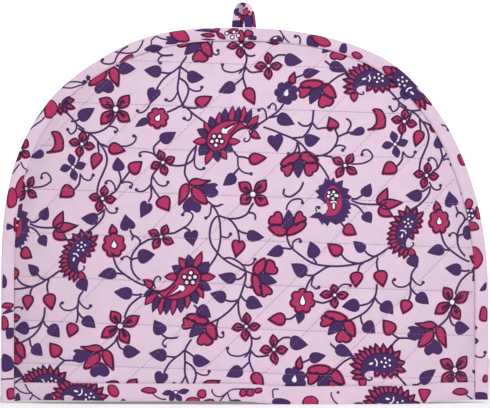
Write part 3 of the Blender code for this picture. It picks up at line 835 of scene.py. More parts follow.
def repeat_drawing():
    """Everything in one repeat of the print, and what is seen best one step to the left."""
    art, left = Artwork(), Artwork()
    for row in VINES:
        art.line(curve(row), VINE)
    for row in TENDRILS:
        art.line(curve(row), TENDRIL, dot=True)
    for row in LEFT_VINES:
        left.line(curve(row), VINE)
    for row in LEFT_TENDRILS:
        left.line(curve(row), TENDRIL, dot=True)
    for sheet, screen, rows, heart in (
        (art, INK, PLUM_LEAVES, False), (art, INK, PLUM_HEARTS, True),
        (art, RED, RED_LEAVES, False), (art, RED, RED_HEARTS, True),
        (left, INK, LEFT_PLUM_LEAVES, False), (left, RED, LEFT_RED_LEAVES, False),
    ):
        for count, (base_x, base_z, tip_x, tip_z, width) in enumerate(rows):
            bend = 0.3 * math.sin(2.4 * count + 1)
            sheet.leaf(screen, (base_x, base_z), (tip_x, tip_z), width, heart, bend)
    for x, z, angles, reach in STARS:
        star(art, (x, z), angles, reach)
    star(art, (101.6, 175), (103, 15, -78, -169), 9.5, INK)
    for x, z, angles, reaches in BIG_STARS:
        big_star(art, (x, z), angles, reaches)
    scallop(art, (-58.4, 192.8), 7.4, 60, drop=0.8)
    scallop(art, (28.2, 209.7), 8.3, 75, drop=0.8, screen=INK)
    scallop(art, (39, 69.7), 8.7, 90, drop=1.1)
    scallop(art, (131.5, 123.1), 8.6, 90, low=0.86, drop=0.8)
    for x, z, turn in BELLS:
        art.moved(BELL, (x, z), turn)
    art.moved(DROOPING_BELL, (-37.8, 148.9))
    art.moved(DROOPING_BELL, (129.8, 52.6), flip=-1)
    crescent = [(86.7, 198.8), (92, 198.8), (95, 194.6), (95.5, 190), (93.8, 186), (83.3, 184.8)]
    crescent += [(86.7, 187), (88.8, 190), (88.6, 194.6)]
    art.red(curve(crescent, closed=True))
    art.moved(RED_PAISLEY, (-18.6, 177.4), 0, 0.93)
    art.moved(RED_PAISLEY, (-36.9, 85.1), 180)
    art.moved(DARK_PAISLEY, (91, 219.8))
    art.moved(DARK_PAISLEY, (110.4, 121.6), 60, 0.93)
    art.moved(SPIKY_PAISLEY, (59.3, 140.6))
    return art, left


def on_flat(art):
    """A drawing from the photo's front view, laid on the flat cloth."""
    return [(s, flattened(unsettled(points)), half) for s, points, half in art.shapes]


def repeat_step(v, across, up):
    """How far a copy of the repeat lies from the first one, at height v on the flat cloth."""
    longer = ACROSS_LONGER * smooth((LONGER_BELOW - v) / LONGER_OVER)
    x = across * (ACROSS + longer) + up * UP_SHIFT
    return np.array([x, across * ACROSS_RISE + up * UP])


def stepped(shapes, low, high, offset=(0.0, 0.0)):
    """Copies of the repeat's flat shapes that reach into the box from low to high."""
    copies = []
    for across in (-2, -1, 0, 1, 2):
        for up in (-2, -1, 0, 1, 2):
            for screen, points, half in shapes:
                height = points[:, 1].mean() + up * UP
                moved = points + repeat_step(height, across, up) + offset
                if (moved.max(axis=0) < low).any() or (moved.min(axis=0) > high).any():
                    continue
                copies.append((screen, moved, half))
    return copies


# Cutting cloth along its print


def ring_edges(first, count):
    return [(first + i, first + (i + 1) % count) for i in range(count)]


def sides_of(points, half):
    """The two edges of a printed line."""
    along = np.gradient(points, axis=0)
    along /= np.maximum(np.linalg.norm(along, axis=1), 1e-6)[:, None]
    out = np.stack([-along[:, 1], along[:, 0]], axis=1) * half
    return points + out, points - out


def within(places, ring):
    """Which places lie inside a closed outline."""
    x, z = places[:, 0][:, None], places[:, 1][:, None]
    ax, az = ring[:, 0], ring[:, 1]
    bx, bz = np.roll(ax, -1), np.roll(az, -1)
    spans = (az > z) != (bz > z)
    rise = np.where(bz == az, 1e-9, bz - az)
    crossing = x < (bx - ax) * (z - az) / rise + ax
    return (np.sum(spans & crossing, axis=1) % 2).astype(bool)


def beside(places, points, half):
    """Which places lie on a printed line."""
    start, end = points[:-1], points[1:]
    span = end - start
    size = np.maximum(np.sum(span**2, axis=1), 1e-9)
    away = places[:, None, :] - start
    share = np.clip(np.sum(away * span, axis=2) / size, 0, 1)
    gap = away - share[:, :, None] * span
    return np.min(np.sum(gap**2, axis=2), axis=1) <= (half + 0.02) ** 2


def screens_at(places, shapes):
    """The screens that printed each place."""
    found = np.zeros(len(places), dtype=int)
    order = np.argsort(places[:, 0])
    sorted_x = places[order, 0]
    for screen, points, half in shapes:
        low, high = points.min(axis=0) - half, points.max(axis=0) + half
        first, last = np.searchsorted(sorted_x, [low[0], high[0]])
        near = order[first:last]
        near = near[(places[near, 1] >= low[1]) & (places[near, 1] <= high[1])]
        if len(near) == 0:
            continue
        spots = places[near]
        hit = beside(spots, points, half) if half else within(spots, points)
        if screen == CLEAR:
            found[near[hit]] = 0
        else:
            found[near[hit]] |= screen
    return found


def srgb(red, green, blue):
    """A colour as a paint program shows it, in the renderer's linear values."""
    values = np.array([red, green, blue]) / 255
    return np.where(values <= 0.04045, values / 12.92, ((values + 0.055) / 1.055) ** 2.4)


GROUND_COLOUR = srgb(227, 202, 221)
RED_COLOUR = srgb(180, 50, 98)
INK_COLOUR = srgb(71, 43, 97)
BOTH_COLOUR = srgb(62, 25, 66)
WHITE_COLOUR = srgb(245, 238, 246)
LINING_COLOUR = srgb(232, 222, 224)


def ink_colours(found):
    colours = np.tile(GROUND_COLOUR, (len(found), 1))
    colours[(found & RED) > 0] = RED_COLOUR
    colours[(found & INK) > 0] = INK_COLOUR
    colours[(found & (RED | INK)) == (RED | INK)] = BOTH_COLOUR
    colours[(found & WHITE) > 0] = WHITE_COLOUR
    return colours


def lattice(low, high, pitch):
    """Rows of evenly spread points over a box."""
    rows = []
    rise = pitch * math.sqrt(3) / 2
    for count in range(int((high[1] - low[1]) / rise) + 1):
        x = np.arange(low[0] + (count % 2) * pitch / 2, high[0], pitch)
        rows.append(np.stack([x, np.full_like(x, low[1] + count * rise)], axis=1))
    return np.concatenate(rows)


def cut_cloth(rim, pitch, creases, shapes):
    """A flat piece's points, triangles, rim and colours, cut along its creases and its print."""
    low, high = rim.min(axis=0), rim.max(axis=0)
    spread = lattice(low, high, pitch)
    spread = spread[within(spread, rim)]
    blocks, edges = [rim], ring_edges(0, len(rim))
    count = len(rim)
    for line in creases:
        blocks.append(line)
        edges += [(count + i, count + i + 1) for i in range(len(line) - 1)]
        count += len(line)
    for _, points, half in shapes:
        if half:
            for side in sides_of(points, half):
                blocks.append(side)
                edges += [(count + i, count + i + 1) for i in range(len(side) - 1)]
                count += len(side)
        else:
            blocks.append(points)
            edges += ring_edges(count, len(points))
            count += len(points)
    blocks.append(spread)
    flat = [Vector(place) for place in np.concatenate(blocks).tolist()]
    placed, _, faces, _, _, _ = delaunay_2d_cdt(flat, edges, [], 0, 1e-5)
    places = np.array([(p.x, p.y) for p in placed])
    faces = np.array(faces, dtype=int)
    middles = places[faces].mean(axis=1)
    kept = np.zeros(len(faces), dtype=bool)
    for part in np.array_split(np.arange(len(faces)), 40):
        kept[part] = within(middles[part], rim)
    a, b, c = (places[faces[:, i]] for i in range(3))
    area = (b[:, 0] - a[:, 0]) * (c[:, 1] - a[:, 1]) - (c[:, 0] - a[:, 0]) * (b[:, 1] - a[:, 1])
    kept &= np.abs(area) > 1e-7
    faces, middles, area = faces[kept], middles[kept], area[kept]
    faces[area < 0] = faces[area < 0][:, ::-1]
    return places, faces, screens_at(middles, shapes)


def rim_of(faces):
    """The rim of a triangulated face as a ring of point numbers, in the triangles' sense."""
    count = int(faces.max()) + 1
    sides = np.concatenate([faces[:, [0, 1]], faces[:, [1, 2]], faces[:, [2, 0]]])
    keys = sides[:, 0] * count + sides[:, 1]
    open_sides = sides[~np.isin(keys, sides[:, 1] * count + sides[:, 0])]
    onward = dict(open_sides.tolist())
    start = int(open_sides[0, 0])
    ring = [start]
    while onward[ring[-1]] != start:
        ring.append(onward[ring[-1]])
    return ring


def normals_of(surface, places, step=0.05):
    """The surface's normals at flat places."""
    nudge_x, nudge_z = np.array([step, 0]), np.array([0, step])
    across = surface(places + nudge_x) - surface(places - nudge_x)
    up = surface(places + nudge_z) - surface(places - nudge_z)
    normal = np.cross(across, up)
    return normal / np.maximum(np.linalg.norm(normal, axis=1), 1e-15)[:, None]


UV_MARGIN = 0.002
CLOTH_UNIT = 100


def mesh_piece(name, corners, faces, colours, flat, normals, material):
    """A mesh piece with a colour to each face, its own print layout and given normals."""
    mesh = bpy.data.meshes.new(name)
    mesh.from_pydata(corners, [], [tuple(face) for face in faces])
    sizes = np.array([len(face) for face in faces])
    corner_at = np.concatenate([np.asarray(face) for face in faces])
    printed = mesh.color_attributes.new("print", "FLOAT_COLOR", "CORNER")
    shades = np.concatenate([np.repeat(colours, sizes, axis=0), np.ones((sizes.sum(), 1))], axis=1)
    printed.data.foreach_set("color", shades.astype(np.float32).ravel())
    layout = mesh.uv_layers.new(name="OFBake")
    low = flat.min(axis=0)
    spread = (flat - low) / (flat.max(axis=0) - low).max()
    share = UV_MARGIN + (1 - 2 * UV_MARGIN) * spread[corner_at]
    layout.data.foreach_set("uv", share.astype(np.float32).ravel())
    cloth_map = mesh.uv_layers.new(name="Cloth")
    cloth_map.data.foreach_set("uv", (flat[corner_at] / CLOTH_UNIT).astype(np.float32).ravel())
    mesh.polygons.foreach_set("use_smooth", np.ones(len(faces), dtype=bool))
    mesh.materials.append(material)
    mesh.validate()
    if normals is not None:
        mesh.normals_split_custom_set_from_vertices(normals.tolist())
    piece = bpy.data.objects.new(name, mesh)
    bpy.context.scene.collection.objects.link(piece)
    return piece


def two_faced(name, rim, pitch, creases, shapes, outer, inner, material, turn_round):
    """A closed piece: a printed outer face and a plain inner face that meet along the rim."""
    places, faces, found = cut_cloth(rim, pitch, creases, shapes)
    ring = rim_of(faces)
    lining_rim = places[ring]
    low, high = rim.min(axis=0), rim.max(axis=0)
    spread = lattice(low, high, pitch * 2)
    spread = spread[within(spread, rim)]
    flat = [Vector(place) for place in np.concatenate([lining_rim, spread]).tolist()]
    edges = ring_edges(0, len(ring))
    placed, _, inner_faces, sources, _, _ = delaunay_2d_cdt(flat, edges, [], 1, 1e-7)
    inner_places = np.array([(p.x, p.y) for p in placed])
    where = {source: place for place, found_at in enumerate(sources) for source in found_at}
    first = len(places)
    all_faces = [tuple(face) for face in faces.tolist()]
    all_faces += [tuple(first + i for i in reversed(face)) for face in inner_faces]
    for i, here in enumerate(ring):
        j = (i + 1) % len(ring)
        low_here, low_next = first + where[i], first + where[j]
        all_faces.append((ring[j], here, low_here))
        all_faces.append((ring[j], low_here, low_next))
    corners = np.concatenate([outer(places), inner(inner_places)])
    normals = np.concatenate([normals_of(outer, places), -normals_of(inner, inner_places)])
    if turn_round:
        all_faces = [face[::-1] for face in all_faces]
        normals = -normals
    plain = len(all_faces) - len(faces)
    colours = np.concatenate([ink_colours(found), np.tile(LINING_COLOUR, (plain, 1))])
    apart = np.array([0.0, rim[:, 1].max() - rim[:, 1].min() + 6.0])
    flat_all = np.concatenate([places, inner_places * 0.999 + apart])
    used = np.zeros(len(corners), dtype=bool)
    for face in all_faces:
        used[list(face)] = True
    number = np.cumsum(used) - 1
    all_faces = [tuple(int(number[i]) for i in face) for face in all_faces]
    return mesh_piece(
        name, corners[used], all_faces, colours, flat_all[used], normals[used], material
    )


# The strips' own stretches of the print


BACK_OFFSET = (74.0, 58.0)


def blot(art, screen, points):
    """A smooth blob through a few places."""
    ring = curve(points, closed=True)
    if screen == RED:
        art.fill(CLEAR, ring)
        art.red(ring, 0.9)
    else:
        art.plum(ring)


def binding_print(flat):
    """The print on the binding: its front as the photo shows it, its back from the repeat."""
    art = Artwork()
    lines = [
        [(-63.2, 243), (-62.9, 245.7), (-61, 247.5), (-59.5, 248.1), (-56.5, 246.8), (-52.7, 246)],
        [(23.6, 252.6), (25.5, 249.8), (26.2, 246.4), (24.4, 243.4)],
        [(25.5, 249.8), (27.7, 246.4), (30, 244.2)],
        [(-68.6, 245.6), (-70.1, 241.9), (-72.8, 238.3), (-76.2, 237), (-80.7, 236.8),
         (-87.4, 237.7)],
        [(-84.1, 229.8), (-84.6, 228.3), (-82.9, 226.8), (-80.7, 227.2), (-79.9, 228.7)],
        [(-123.5, 213.7), (-119.8, 216.7), (-115.3, 217.5), (-110.8, 217.1), (-109.2, 216.3)],
        [(-122.8, 213.5), (-116.8, 213.3), (-112.3, 214.8), (-108.5, 215.9)],
        [(-145.3, 185.5), (-140.8, 188.9), (-137.1, 191.5), (-135.6, 193.4)],
        [(-151.4, 163.1), (-149.9, 159.7), (-148, 158.2)],
        [(-152.5, 161.6), (-157.4, 155.2)],
        [(-164.4, 16), (-155.5, 16.6)],
        [(-135, 200), (-141.6, 192.2)],
    ]
    for row in lines:
        art.line(curve(row), 1.1)
    for row in (
        [(37.5, 243.8), (37.7, 246.4), (36.4, 248.5), (34.5, 248.2)],
        [(-79.2, 241.5), (-82.9, 239.2), (-85.2, 236.6), (-87.1, 233.2), (-88.2, 230.6),
         (-91.2, 229.5), (-95, 229.8), (-97.2, 231.3), (-96.2, 232.4)],
        [(155.9, 32.7), (157.6, 31.2), (160.2, 30.8), (162.5, 32), (162.9, 34.2)],
        [(134, 188), (136.5, 187.4), (138, 185)],
    ):
        art.line(curve(row), TENDRIL, dot=True)
    plum_blobs = [
        [(-53.5, 243), (-52, 246), (-53.5, 248), (-49, 248.6), (-45, 249.2), (-44, 245),
         (-47, 243)],
        [(-34, 252), (-28, 253.6), (-21, 253), (-22, 251), (-29, 251.4)],
        [(-30, 246.4), (-25, 246.8), (-19.6, 246), (-25, 245.4)],
        [(2.2, 246.4), (4.6, 249), (8.2, 248), (7.4, 245.6)],
        [(16.6, 245.2), (19, 248), (23, 248.8), (25.4, 247), (25, 244.8), (20, 244.4)],
        [(42, 243), (42.4, 248), (46, 249.4), (50, 247), (50, 241), (44, 241.6)],
        [(64, 238), (65.6, 243), (69, 243), (69, 237)],
        [(-68, 239), (-63, 242.6), (-57, 242), (-53.7, 239), (-60, 236.6)],
        [(-161, 117), (-160.6, 121.7), (-156, 119)],
        [(-164, 78), (-163.6, 87), (-161, 84), (-161.2, 79)],
        [(-164.3, 60), (-160, 63.8), (-156.4, 62)],
        [(-161, 43.5), (-161.4, 50), (-156, 50.6), (-156.6, 44.6)],
        [(-164.4, 22), (-164, 32.8), (-158, 31), (-156, 25), (-159, 21.6)],
        [(159, 76), (163.6, 82), (163.4, 76.6)],
        [(155.7, 39.5), (158.7, 42), (155.9, 44.4)],
        [(155.4, 1), (155.6, 6.4), (160, 7.5), (164.4, 6), (164, 0.6)],
        [(-121, 198), (-124, 204), (-118, 208), (-115, 202)],
    ]
    for row in plum_blobs:
        blot(art, INK, row)
    red_blobs = [
        [(-50.5, 251), (-41.4, 252.5), (-37.3, 245.8), (-45, 245)],
        [(-29.4, 249.6), (-24, 250.6), (-20, 248.8), (-25, 247.8)],
        [(-18.9, 251), (-15, 250), (-12.9, 246.8), (-17, 247.6)],
        [(-23, 251.6), (-19, 254), (-16.6, 253.4), (-18.6, 251.2)],
        [(-12, 251), (-8, 254), (-4, 253), (-7, 250.6)],
        [(-3.8, 246), (-3.6, 252), (-1, 252), (0, 247), (-2, 244.4)],
        [(0.2, 248), (1, 252.6), (5, 252), (5.6, 249.4)],
        [(45.8, 247), (47, 249.6), (51, 249), (56.6, 246), (58.4, 242.6), (54, 241.4), (49, 243.6)],
        [(72.6, 236.6), (76, 238), (80, 234.6), (76, 233)],
        [(93.6, 227.4), (98, 228), (100.6, 224), (96.4, 222.6)],
        [(144.4, 167.6), (148, 168), (150.4, 162.4), (147, 161.4)],
        [(-84.4, 230.2), (-80, 235), (-75.4, 235.8), (-78, 231.4)],
        [(-125, 195), (-125.4, 203), (-121, 200), (-120.6, 195)],
        [(-134.6, 194), (-135, 203), (-130, 205), (-126.4, 200), (-129, 194)],
        [(-155, 139), (-154.6, 147), (-150, 154), (-146, 151), (-149, 142)],
        [(-160, 133), (-160.4, 142), (-157, 146), (-154, 141), (-155, 134)],
        [(-155.9, 117), (-155.6, 125.6), (-153.4, 122), (-153.6, 117)],
        [(-164.3, 65), (-162, 68), (-156.6, 67), (-158, 64.4)],
        [(-164.2, 50), (-164, 59), (-160.6, 57), (-160, 51.4)],
        [(-160, 3), (-160.6, 9), (-156.6, 10), (-155.6, 4)],
        [(152.7, 92), (153, 104.6), (158, 105), (161.4, 98), (158, 91.6)],
        [(153.6, 79.6), (153.4, 90), (154.6, 86)],
        [(159.2, 57), (160.6, 65), (164, 64), (164, 56)],
        [(155.7, 49.6), (156, 52.4), (157.6, 51.2)],
        [(161.4, 15), (162.6, 19.2), (165, 18), (164.4, 14.6)],
        [(148.8, 132.4), (151, 138.4), (154.6, 136.6), (153, 132)],
        [(150.6, 117), (149.8, 122), (156, 122.6), (158.6, 118)],
        [(156.6, 126), (157, 133), (160.2, 130), (159.6, 125)],
    ]
    for row in red_blobs:
        blot(art, RED, row)
    star(art, (-151.7, 171.4), (59, -34, -113, 150), (8.8, 8, 8.4, 6))
    star(art, (-105.6, 217.4), (100, 10, -80, 190), 4.8, INK, 3.4)
    art.plum(disc((152.6, 127.6), 3.6, 1.3, 70))
    for place in ((151.2, 130.2), (153.8, 130.2), (152, 127.2), (154.4, 126.8), (152, 124.8)):
        art.fill(WHITE, disc(place, 0.75))
    for place in ((-12.1, 250.3), (-7.2, 251.1), (-8.3, 247.7), (-4.2, 248.8)):
        art.white(disc(place, 0.95), 0.8)
    art.fill(WHITE, disc((20.8, 247), 0.55, 2.4, 12))
    art.white(disc((-119.6, 200.4), 1.0, 1.6, 60), 0.6)
    art.moved(DARK_PAISLEY, (107, 217.6), 127)
    shapes = [(screen, along_edge(points), half) for screen, points, half in art.shapes]
    low, high = np.array([0.0, -24.0]), np.array([EDGE_LENGTH, -2.0])
    turned_under = np.array([260.0, -120.0])
    for part in flat:
        for step in (0, 1, 2):
            shift = turned_under + np.array([step * 229.5 - 229.5, -10.0 * step])
            for screen, points, half in part:
                moved = points + shift
                if (moved.max(axis=0) < low).any() or (moved.min(axis=0) > high).any():
                    continue
                if moved[:, 1].max() < -1.5:
                    shapes.append((screen, moved, half))
    return shapes


def hem_print(flat):
    """The print on the front hem band, as the photo shows it."""
    art = Artwork()
    for row in (
        [(-155, 10.2), (-151.4, 7.2), (-146.8, 6), (-143.8, 6.8)],
        [(-148.3, 12.4), (-146.1, 8.3), (-143.1, 5.3), (-140.1, 3), (-137.1, 1.1)],
        [(-143.1, 4.9), (-145.7, 0.8)],
        [(-62.6, 7.6), (-59.5, 4.6), (-55.7, 2.7), (-52.7, 2.7)],
        [(-21.9, 9.8), (-21.5, 7.6), (-19.6, 5.3), (-16.6, 4.5), (-14, 5.7), (-11.7, 7.6),
         (-9.8, 9.1), (-7.2, 10), (0, 10.3), (6.5, 10.2)],
        [(-11.7, 7.6), (-14.4, 4.2), (-17.4, 0.4)],
        [(-11.4, 7.6), (-10.6, 4.6), (-9.5, 2.3)],
        [(22.5, 10.3), (19.5, 9.9), (18.9, 8.3), (19.3, 3.8)],
        [(58.3, 7.6), (58.3, 5.3), (60.2, 1.6), (62.9, -1)],
        [(148.6, 6), (151.2, 3.8), (153.8, 1.9)],
    ):
        art.line(curve(row), 1.1)
    for row in (
        [(-155.5, 0), (-155, 5), (-153, 6.4), (-151.7, 3), (-152, 0)],
        [(-136, 0), (-134.6, 5), (-131, 6.4), (-128.6, 3), (-128, -1), (-132, -2)],
        [(-83.7, 1), (-82, 2.9), (-79.9, 2), (-81, 0.4)],
        [(-10.6, 1), (-6, 2.7), (-2.3, 1.6), (-5, -2)],
        [(18.3, 1), (21, 3.6), (27, 3.2), (31.1, 0.4), (27, -3), (21, -2.6)],
        [(73, -1), (76, 0.6), (80, -0.4), (77, -4)],
    ):
        blot(art, INK, row)
    for row in (
        [(-92, 10), (-90, 5.6), (-86, 4.5), (-84.4, 8), (-87, 12.4), (-91, 13)],
        [(-69.4, 9), (-66, 11.4), (-60, 10.6), (-59.5, 8), (-64, 7)],
        [(-31.7, 6), (-30, 9.6), (-26.4, 9.4), (-26, 5), (-29, 3.6)],
        [(-39.2, 1.6), (-36, 4.3), (-31, 3.6), (-30.2, 1), (-34, -1)],
        [(-27.9, 1), (-24, 2.9), (-20.4, 2), (-23, -1.6)],
        [(-3.1, 6), (-2.6, 9.6), (0.6, 10), (1.4, 6.6), (-1, 4.8)],
        [(1.3, 6), (2, 9.8), (5.6, 10), (6.3, 6.4), (4, 5.2)],
        [(6.9, 8), (7.6, 10.8), (11.4, 11), (11.6, 8.4), (9, 7.4)],
        [(39, 0), (41, 4.4), (46, 5.2), (49.5, 2), (48, -2.4), (42, -2.6)],
        [(117.4, 9), (121, 9.9), (125.6, 8.6), (123, 3), (120.6, 0.4)],
        [(140.7, 7), (144, 10), (149, 9.6), (151.2, 6.6), (146, 5)],
    ):
        blot(art, RED, row)
    star(art, (-46.2, 7.7), (188, 10, -60, -120), (9.6, 9.6, 8, 8), INK, 4.4)
    art.plum(disc((62.9, 7.7), 1.1))
    art.moved(DARK_PAISLEY, (-104.5, 3.7), -29)
    art.moved(DARK_PAISLEY, (105.4, -1.6), -29)
    shapes = [(screen, unsettled(points), half) for screen, points, half in art.shapes]
    low, high = np.array([-160.0, -22.0]), np.array([160.0, -3.0])
    for copy in stepped(flat[0], low, high, (40.0, -128.0)):
        if copy[1][:, 1].max() < -1.0:
            shapes.append(copy)
    return shapes


def back_hem_print(flat):
    """The print on the back hem band, from another part of the repeat."""
    low, high = np.array([-160.0, -22.0]), np.array([160.0, 14.0])
    return [copy for part in flat for copy in stepped(part, low, high, (-52.0, -88.0))]


def loop_print_and_shade():
    """The blots of print that the narrow tape shows, with painted shade in two plum blots near its top,
    by place across it and along it.
    """
    art = Artwork()
    for row in (
        [(0, -1), (-0.4, 5), (1.6, 7.6), (4, 9), (6, 7), (6.4, -1)],
        # These two plum blots, at the top of the loop and on its upper back leg, are partly print and
        # partly painted shade: they darken where the hole and the back leg's inner face lie in shade.
        [(-2, 14), (-3, 17), (0, 19.4), (2, 17), (1, 13.6)],
        [(-6, 24), (-5, 28), (-2, 28), (-2.4, 23)],
        [(-9, 33), (-5, 37.4), (-0.4, 40), (0, 34), (-3, 31)],
    ):
        blot(art, INK, row)
    for row in (
        [(0, 7.6), (-0.4, 11.4), (3, 13.4), (4.6, 9.6)],
        [(7, 2), (6.2, 9), (7.4, 11), (9.4, 6), (9.6, 1)],
        [(-1.6, 28), (-1, 33), (1, 33), (0.6, 28)],
    ):
        blot(art, RED, row)
    return art.shapes


# Pieces


def runs_inside(line, inside):
    """The stretches of a line that lie inside."""
    runs, run = [], []
    for place, good in zip(line, inside):
        if good:
            run.append(place)
        elif run:
            runs.append(run)
            run = []
    runs.append(run)
    return [np.array(run) for run in runs if len(run) > 1]


def quilt_lines(sideways, pitch):
    """The quilting's stitched lines on a panel, moved sideways, in points pitch apart."""
    lines = []
    reach = np.arange(-HALF, HALF, pitch)
    for row in range(-1, 9):
        z = ROW_FIRST + ROW_PITCH * row - ROW_SLOPE * reach + sideways
        lines.append(np.stack([reach, z], axis=1))
    for rise in range(-4, 10):
        z = reach + RISE_FIRST + RISE_PITCH * rise + sideways * math.sqrt(2)
        lines.append(np.stack([reach, z], axis=1))
    kept = []
    for line in lines:
        inside = (edge_distance(line[:, 0], line[:, 1]) > SEAM + 0.6) & (line[:, 1] > HEM_LINE + 0.6)
        kept += runs_inside(line, inside)
    return kept


def panel(name, side, shapes, material):
    """One quilted panel with its print. The back one is the front one turned half round."""
    over = outline(PANEL_EDGE, PANEL_EDGE, 150)[0]
    reach = np.linspace(HALF - SEAM, SEAM - HALF, 110)
    rim = np.concatenate([over, np.stack([reach, np.full_like(reach, PANEL_EDGE)], axis=1)])
    seam = outline(PANEL_EDGE + 0.5, SEAM, 150)[0]
    hem = np.stack([reach[2:-2], np.full_like(reach[2:-2], HEM_LINE)], axis=1)
    creases = [seam, hem]
    for sideways in (-0.7, 0.0, 0.7):
        creases += quilt_lines(sideways, 3.0)
    shapes = [(screen, unflattened(points), half) for screen, points, half in shapes]

    def outer(place):
        x, z = place[:, 0], place[:, 1]
        return settled(side * x, -side * outer_depth(x, z), z)

    def inner(place):
        x, z = place[:, 0], place[:, 1]
        return settled(side * x, -side * inner_depth(x, z), z)

    return two_faced(name, rim[::-1], 2.6, creases, shapes, outer, inner, material, False)


def stitches(name, side, material):
    """The quilting thread: short raised dashes along every stitched line."""
    corners, faces = [], []
    pitch, length, thick, high, raised = 3.0, 2.8, 0.12, 0.22, 0.1
    for line in quilt_lines(0.0, 1.0):
        steps = np.concatenate([[0], np.cumsum(np.linalg.norm(np.diff(line, axis=0), axis=1))])
        for start in np.arange(1.0, steps[-1] - length, pitch):
            along = start + np.array([0, 0.25, 0.75, 1]) * length
            flat = np.stack([np.interp(along, steps, line[:, i]) for i in (0, 1)], axis=1)
            x, z = flat[:, 0], flat[:, 1]
            depth = outer_depth(x, z)
            middle = settled(side * x, -side * (depth + raised), z) / MM
            way = middle[3] - middle[0]
            way /= np.linalg.norm(way)
            out = np.cross(way, (0, side, 0))
            out /= np.linalg.norm(out)
            first = len(corners)
            corners.append(middle[0])
            for here in (1, 2):
                for a, b in ((1, 0), (0, 1), (-1, 0), (0, -1)):
                    corners.append(middle[here] + out * a * thick + np.array([0, -side * b * high, 0]))
            corners.append(middle[3])
            for i in range(4):
                j = (i + 1) % 4
                faces.append((first, first + 1 + j, first + 1 + i))
                faces.append((first + 1 + i, first + 1 + j, first + 5 + j, first + 5 + i))
                faces.append((first + 5 + i, first + 5 + j, first + 9))
    return plain_piece(name, np.array(corners) * MM, faces, material)


def plain_piece(name, corners, faces, material):
    """A smooth mesh piece of one material."""
    mesh = bpy.data.meshes.new(name)
    mesh.from_pydata(corners, [], faces)
    mesh.polygons.foreach_set("use_smooth", np.ones(len(faces), dtype=bool))
    mesh.materials.append(material)
    piece = bpy.data.objects.new(name, mesh)
    bpy.context.scene.collection.objects.link(piece)
    return piece


EDGE, EDGE_FACING = outline(0.0, 0.0, 900)
EDGE_STEPS = np.concatenate([[0], np.cumsum(np.linalg.norm(np.diff(EDGE, axis=0), axis=1))])
EDGE_LENGTH = EDGE_STEPS[-1]


def along_edge(points):
    """Front view points as places on the binding: how far along it, and how far in from its fold."""
    places = unsettled(np.asarray(points, dtype=float))
    away = places[:, None, :] - EDGE
    near = np.argmin(np.sum(away**2, axis=2), axis=1)
    away = places - EDGE[near]
    facing = EDGE_FACING[near]
    onward = np.stack([-facing[:, 1], facing[:, 0]], axis=1)
    inset = np.sum(away * facing, axis=1)
    return np.stack([EDGE_STEPS[near] + np.sum(away * onward, axis=1), inset], axis=1)


FOLD_ROUND = 1.9


def binding_profile():
    """The outside of the folded binding: its places across the strip, their insets and depths."""
    angle = np.linspace(0, math.pi / 2, 12)
    turn = FOLD_ROUND * angle
    flat = 2 * (HALF_FLANGE - FOLD_ROUND)
    across = np.concatenate([
        [BINDING], FOLD_ROUND - turn,
        FOLD_ROUND - turn[-1] - flat - turn,
        [FOLD_ROUND - 2 * turn[-1] - flat - (BINDING - FOLD_ROUND)],
    ])
    inset_turn = FOLD_ROUND * (1 - np.sin(angle))
    depth_turn = HALF_FLANGE - FOLD_ROUND * (1 - np.cos(angle))
    inset = np.concatenate([[BINDING], inset_turn, inset_turn[::-1], [BINDING]])
    depth = np.concatenate([[-HALF_FLANGE], -depth_turn, depth_turn[::-1], [HALF_FLANGE]])
    return across, inset, depth


ACROSS_STRIP, STRIP_INSET, STRIP_DEPTH = binding_profile()
PUCKER_AT = along_edge([(-110, 222)])[0, 0]
PUCKER_REACH = 24.0
INNER_INSET = 1.25


def binding(shapes, material):
    """The folded strip round the edge."""
    lip = HALF_FLANGE - STRIP
    far = ACROSS_STRIP[-1]

    def at(place, inset, depth):
        x, z = (np.interp(place[:, 0], EDGE_STEPS, EDGE[:, i]) for i in (0, 1))
        in_x, in_z = (np.interp(place[:, 0], EDGE_STEPS, EDGE_FACING[:, i]) for i in (0, 1))
        return settled(x + in_x * inset, depth, z + in_z * inset)

    def outer(place):
        s, q = place[:, 0], place[:, 1]
        inset = np.interp(q, ACROSS_STRIP[::-1], STRIP_INSET[::-1])
        depth = np.interp(q, ACROSS_STRIP[::-1], STRIP_DEPTH[::-1])
        side = np.sign(depth)
        held = smooth(np.abs(depth) / HALF_FLANGE * 2 - 1)
        near = np.exp(-(((s - PUCKER_AT) / PUCKER_REACH) ** 2))
        ripple = 0.14 * np.sin(s / 1.9 + 1.6 * np.sin(s / 21))
        ripple += 0.16 * np.sin(s / 11 + np.sin(s / 37))
        ripple += near * 0.45 * np.sin(s / 1.15 + q * 0.35 + np.sin(s / 7))
        ends = smooth((inset - BINDING + TURN_WIDTH) / TURN_WIDTH) * TURN_DEPTH
        return at(place, inset, depth + side * held * (ripple - ends))

    def inner(place):
        q = place[:, 1]
        knots = [far, far + BINDING - FOLD_ROUND, far / 2 - 1, 0, FOLD_ROUND, BINDING]
        inset = np.interp(q, knots, [BINDING, FOLD_ROUND, INNER_INSET, INNER_INSET, FOLD_ROUND, BINDING])
        depth = np.interp(q, knots, [lip, lip, 1.0, -1.0, -lip, -lip])
        return at(place, inset, depth)

    count = int(EDGE_LENGTH / 2.5)
    s = np.linspace(0, EDGE_LENGTH, count)
    top = np.stack([s, np.full_like(s, BINDING)], axis=1)
    low = np.stack([s[::-1], np.full_like(s, far)], axis=1)
    q = np.linspace(BINDING, far, 14)[1:-1]
    end = np.stack([np.full_like(q, EDGE_LENGTH), q], axis=1)
    start = np.stack([np.zeros_like(q), q[::-1]], axis=1)
    rim = np.concatenate([top, end, low, start])
    creases = [np.stack([s, np.full_like(s, place)], axis=1)[1:-1] for place in (
        8.2, 7.2, 4.6, FOLD_ROUND, 1.2, 0.4, -0.4, -1.05, -2.6, far / 2 - 2.0, far + 7.0, far + 0.6
    )]
    return two_faced("binding", rim, 2.0, creases, shapes, outer, inner, material, True)


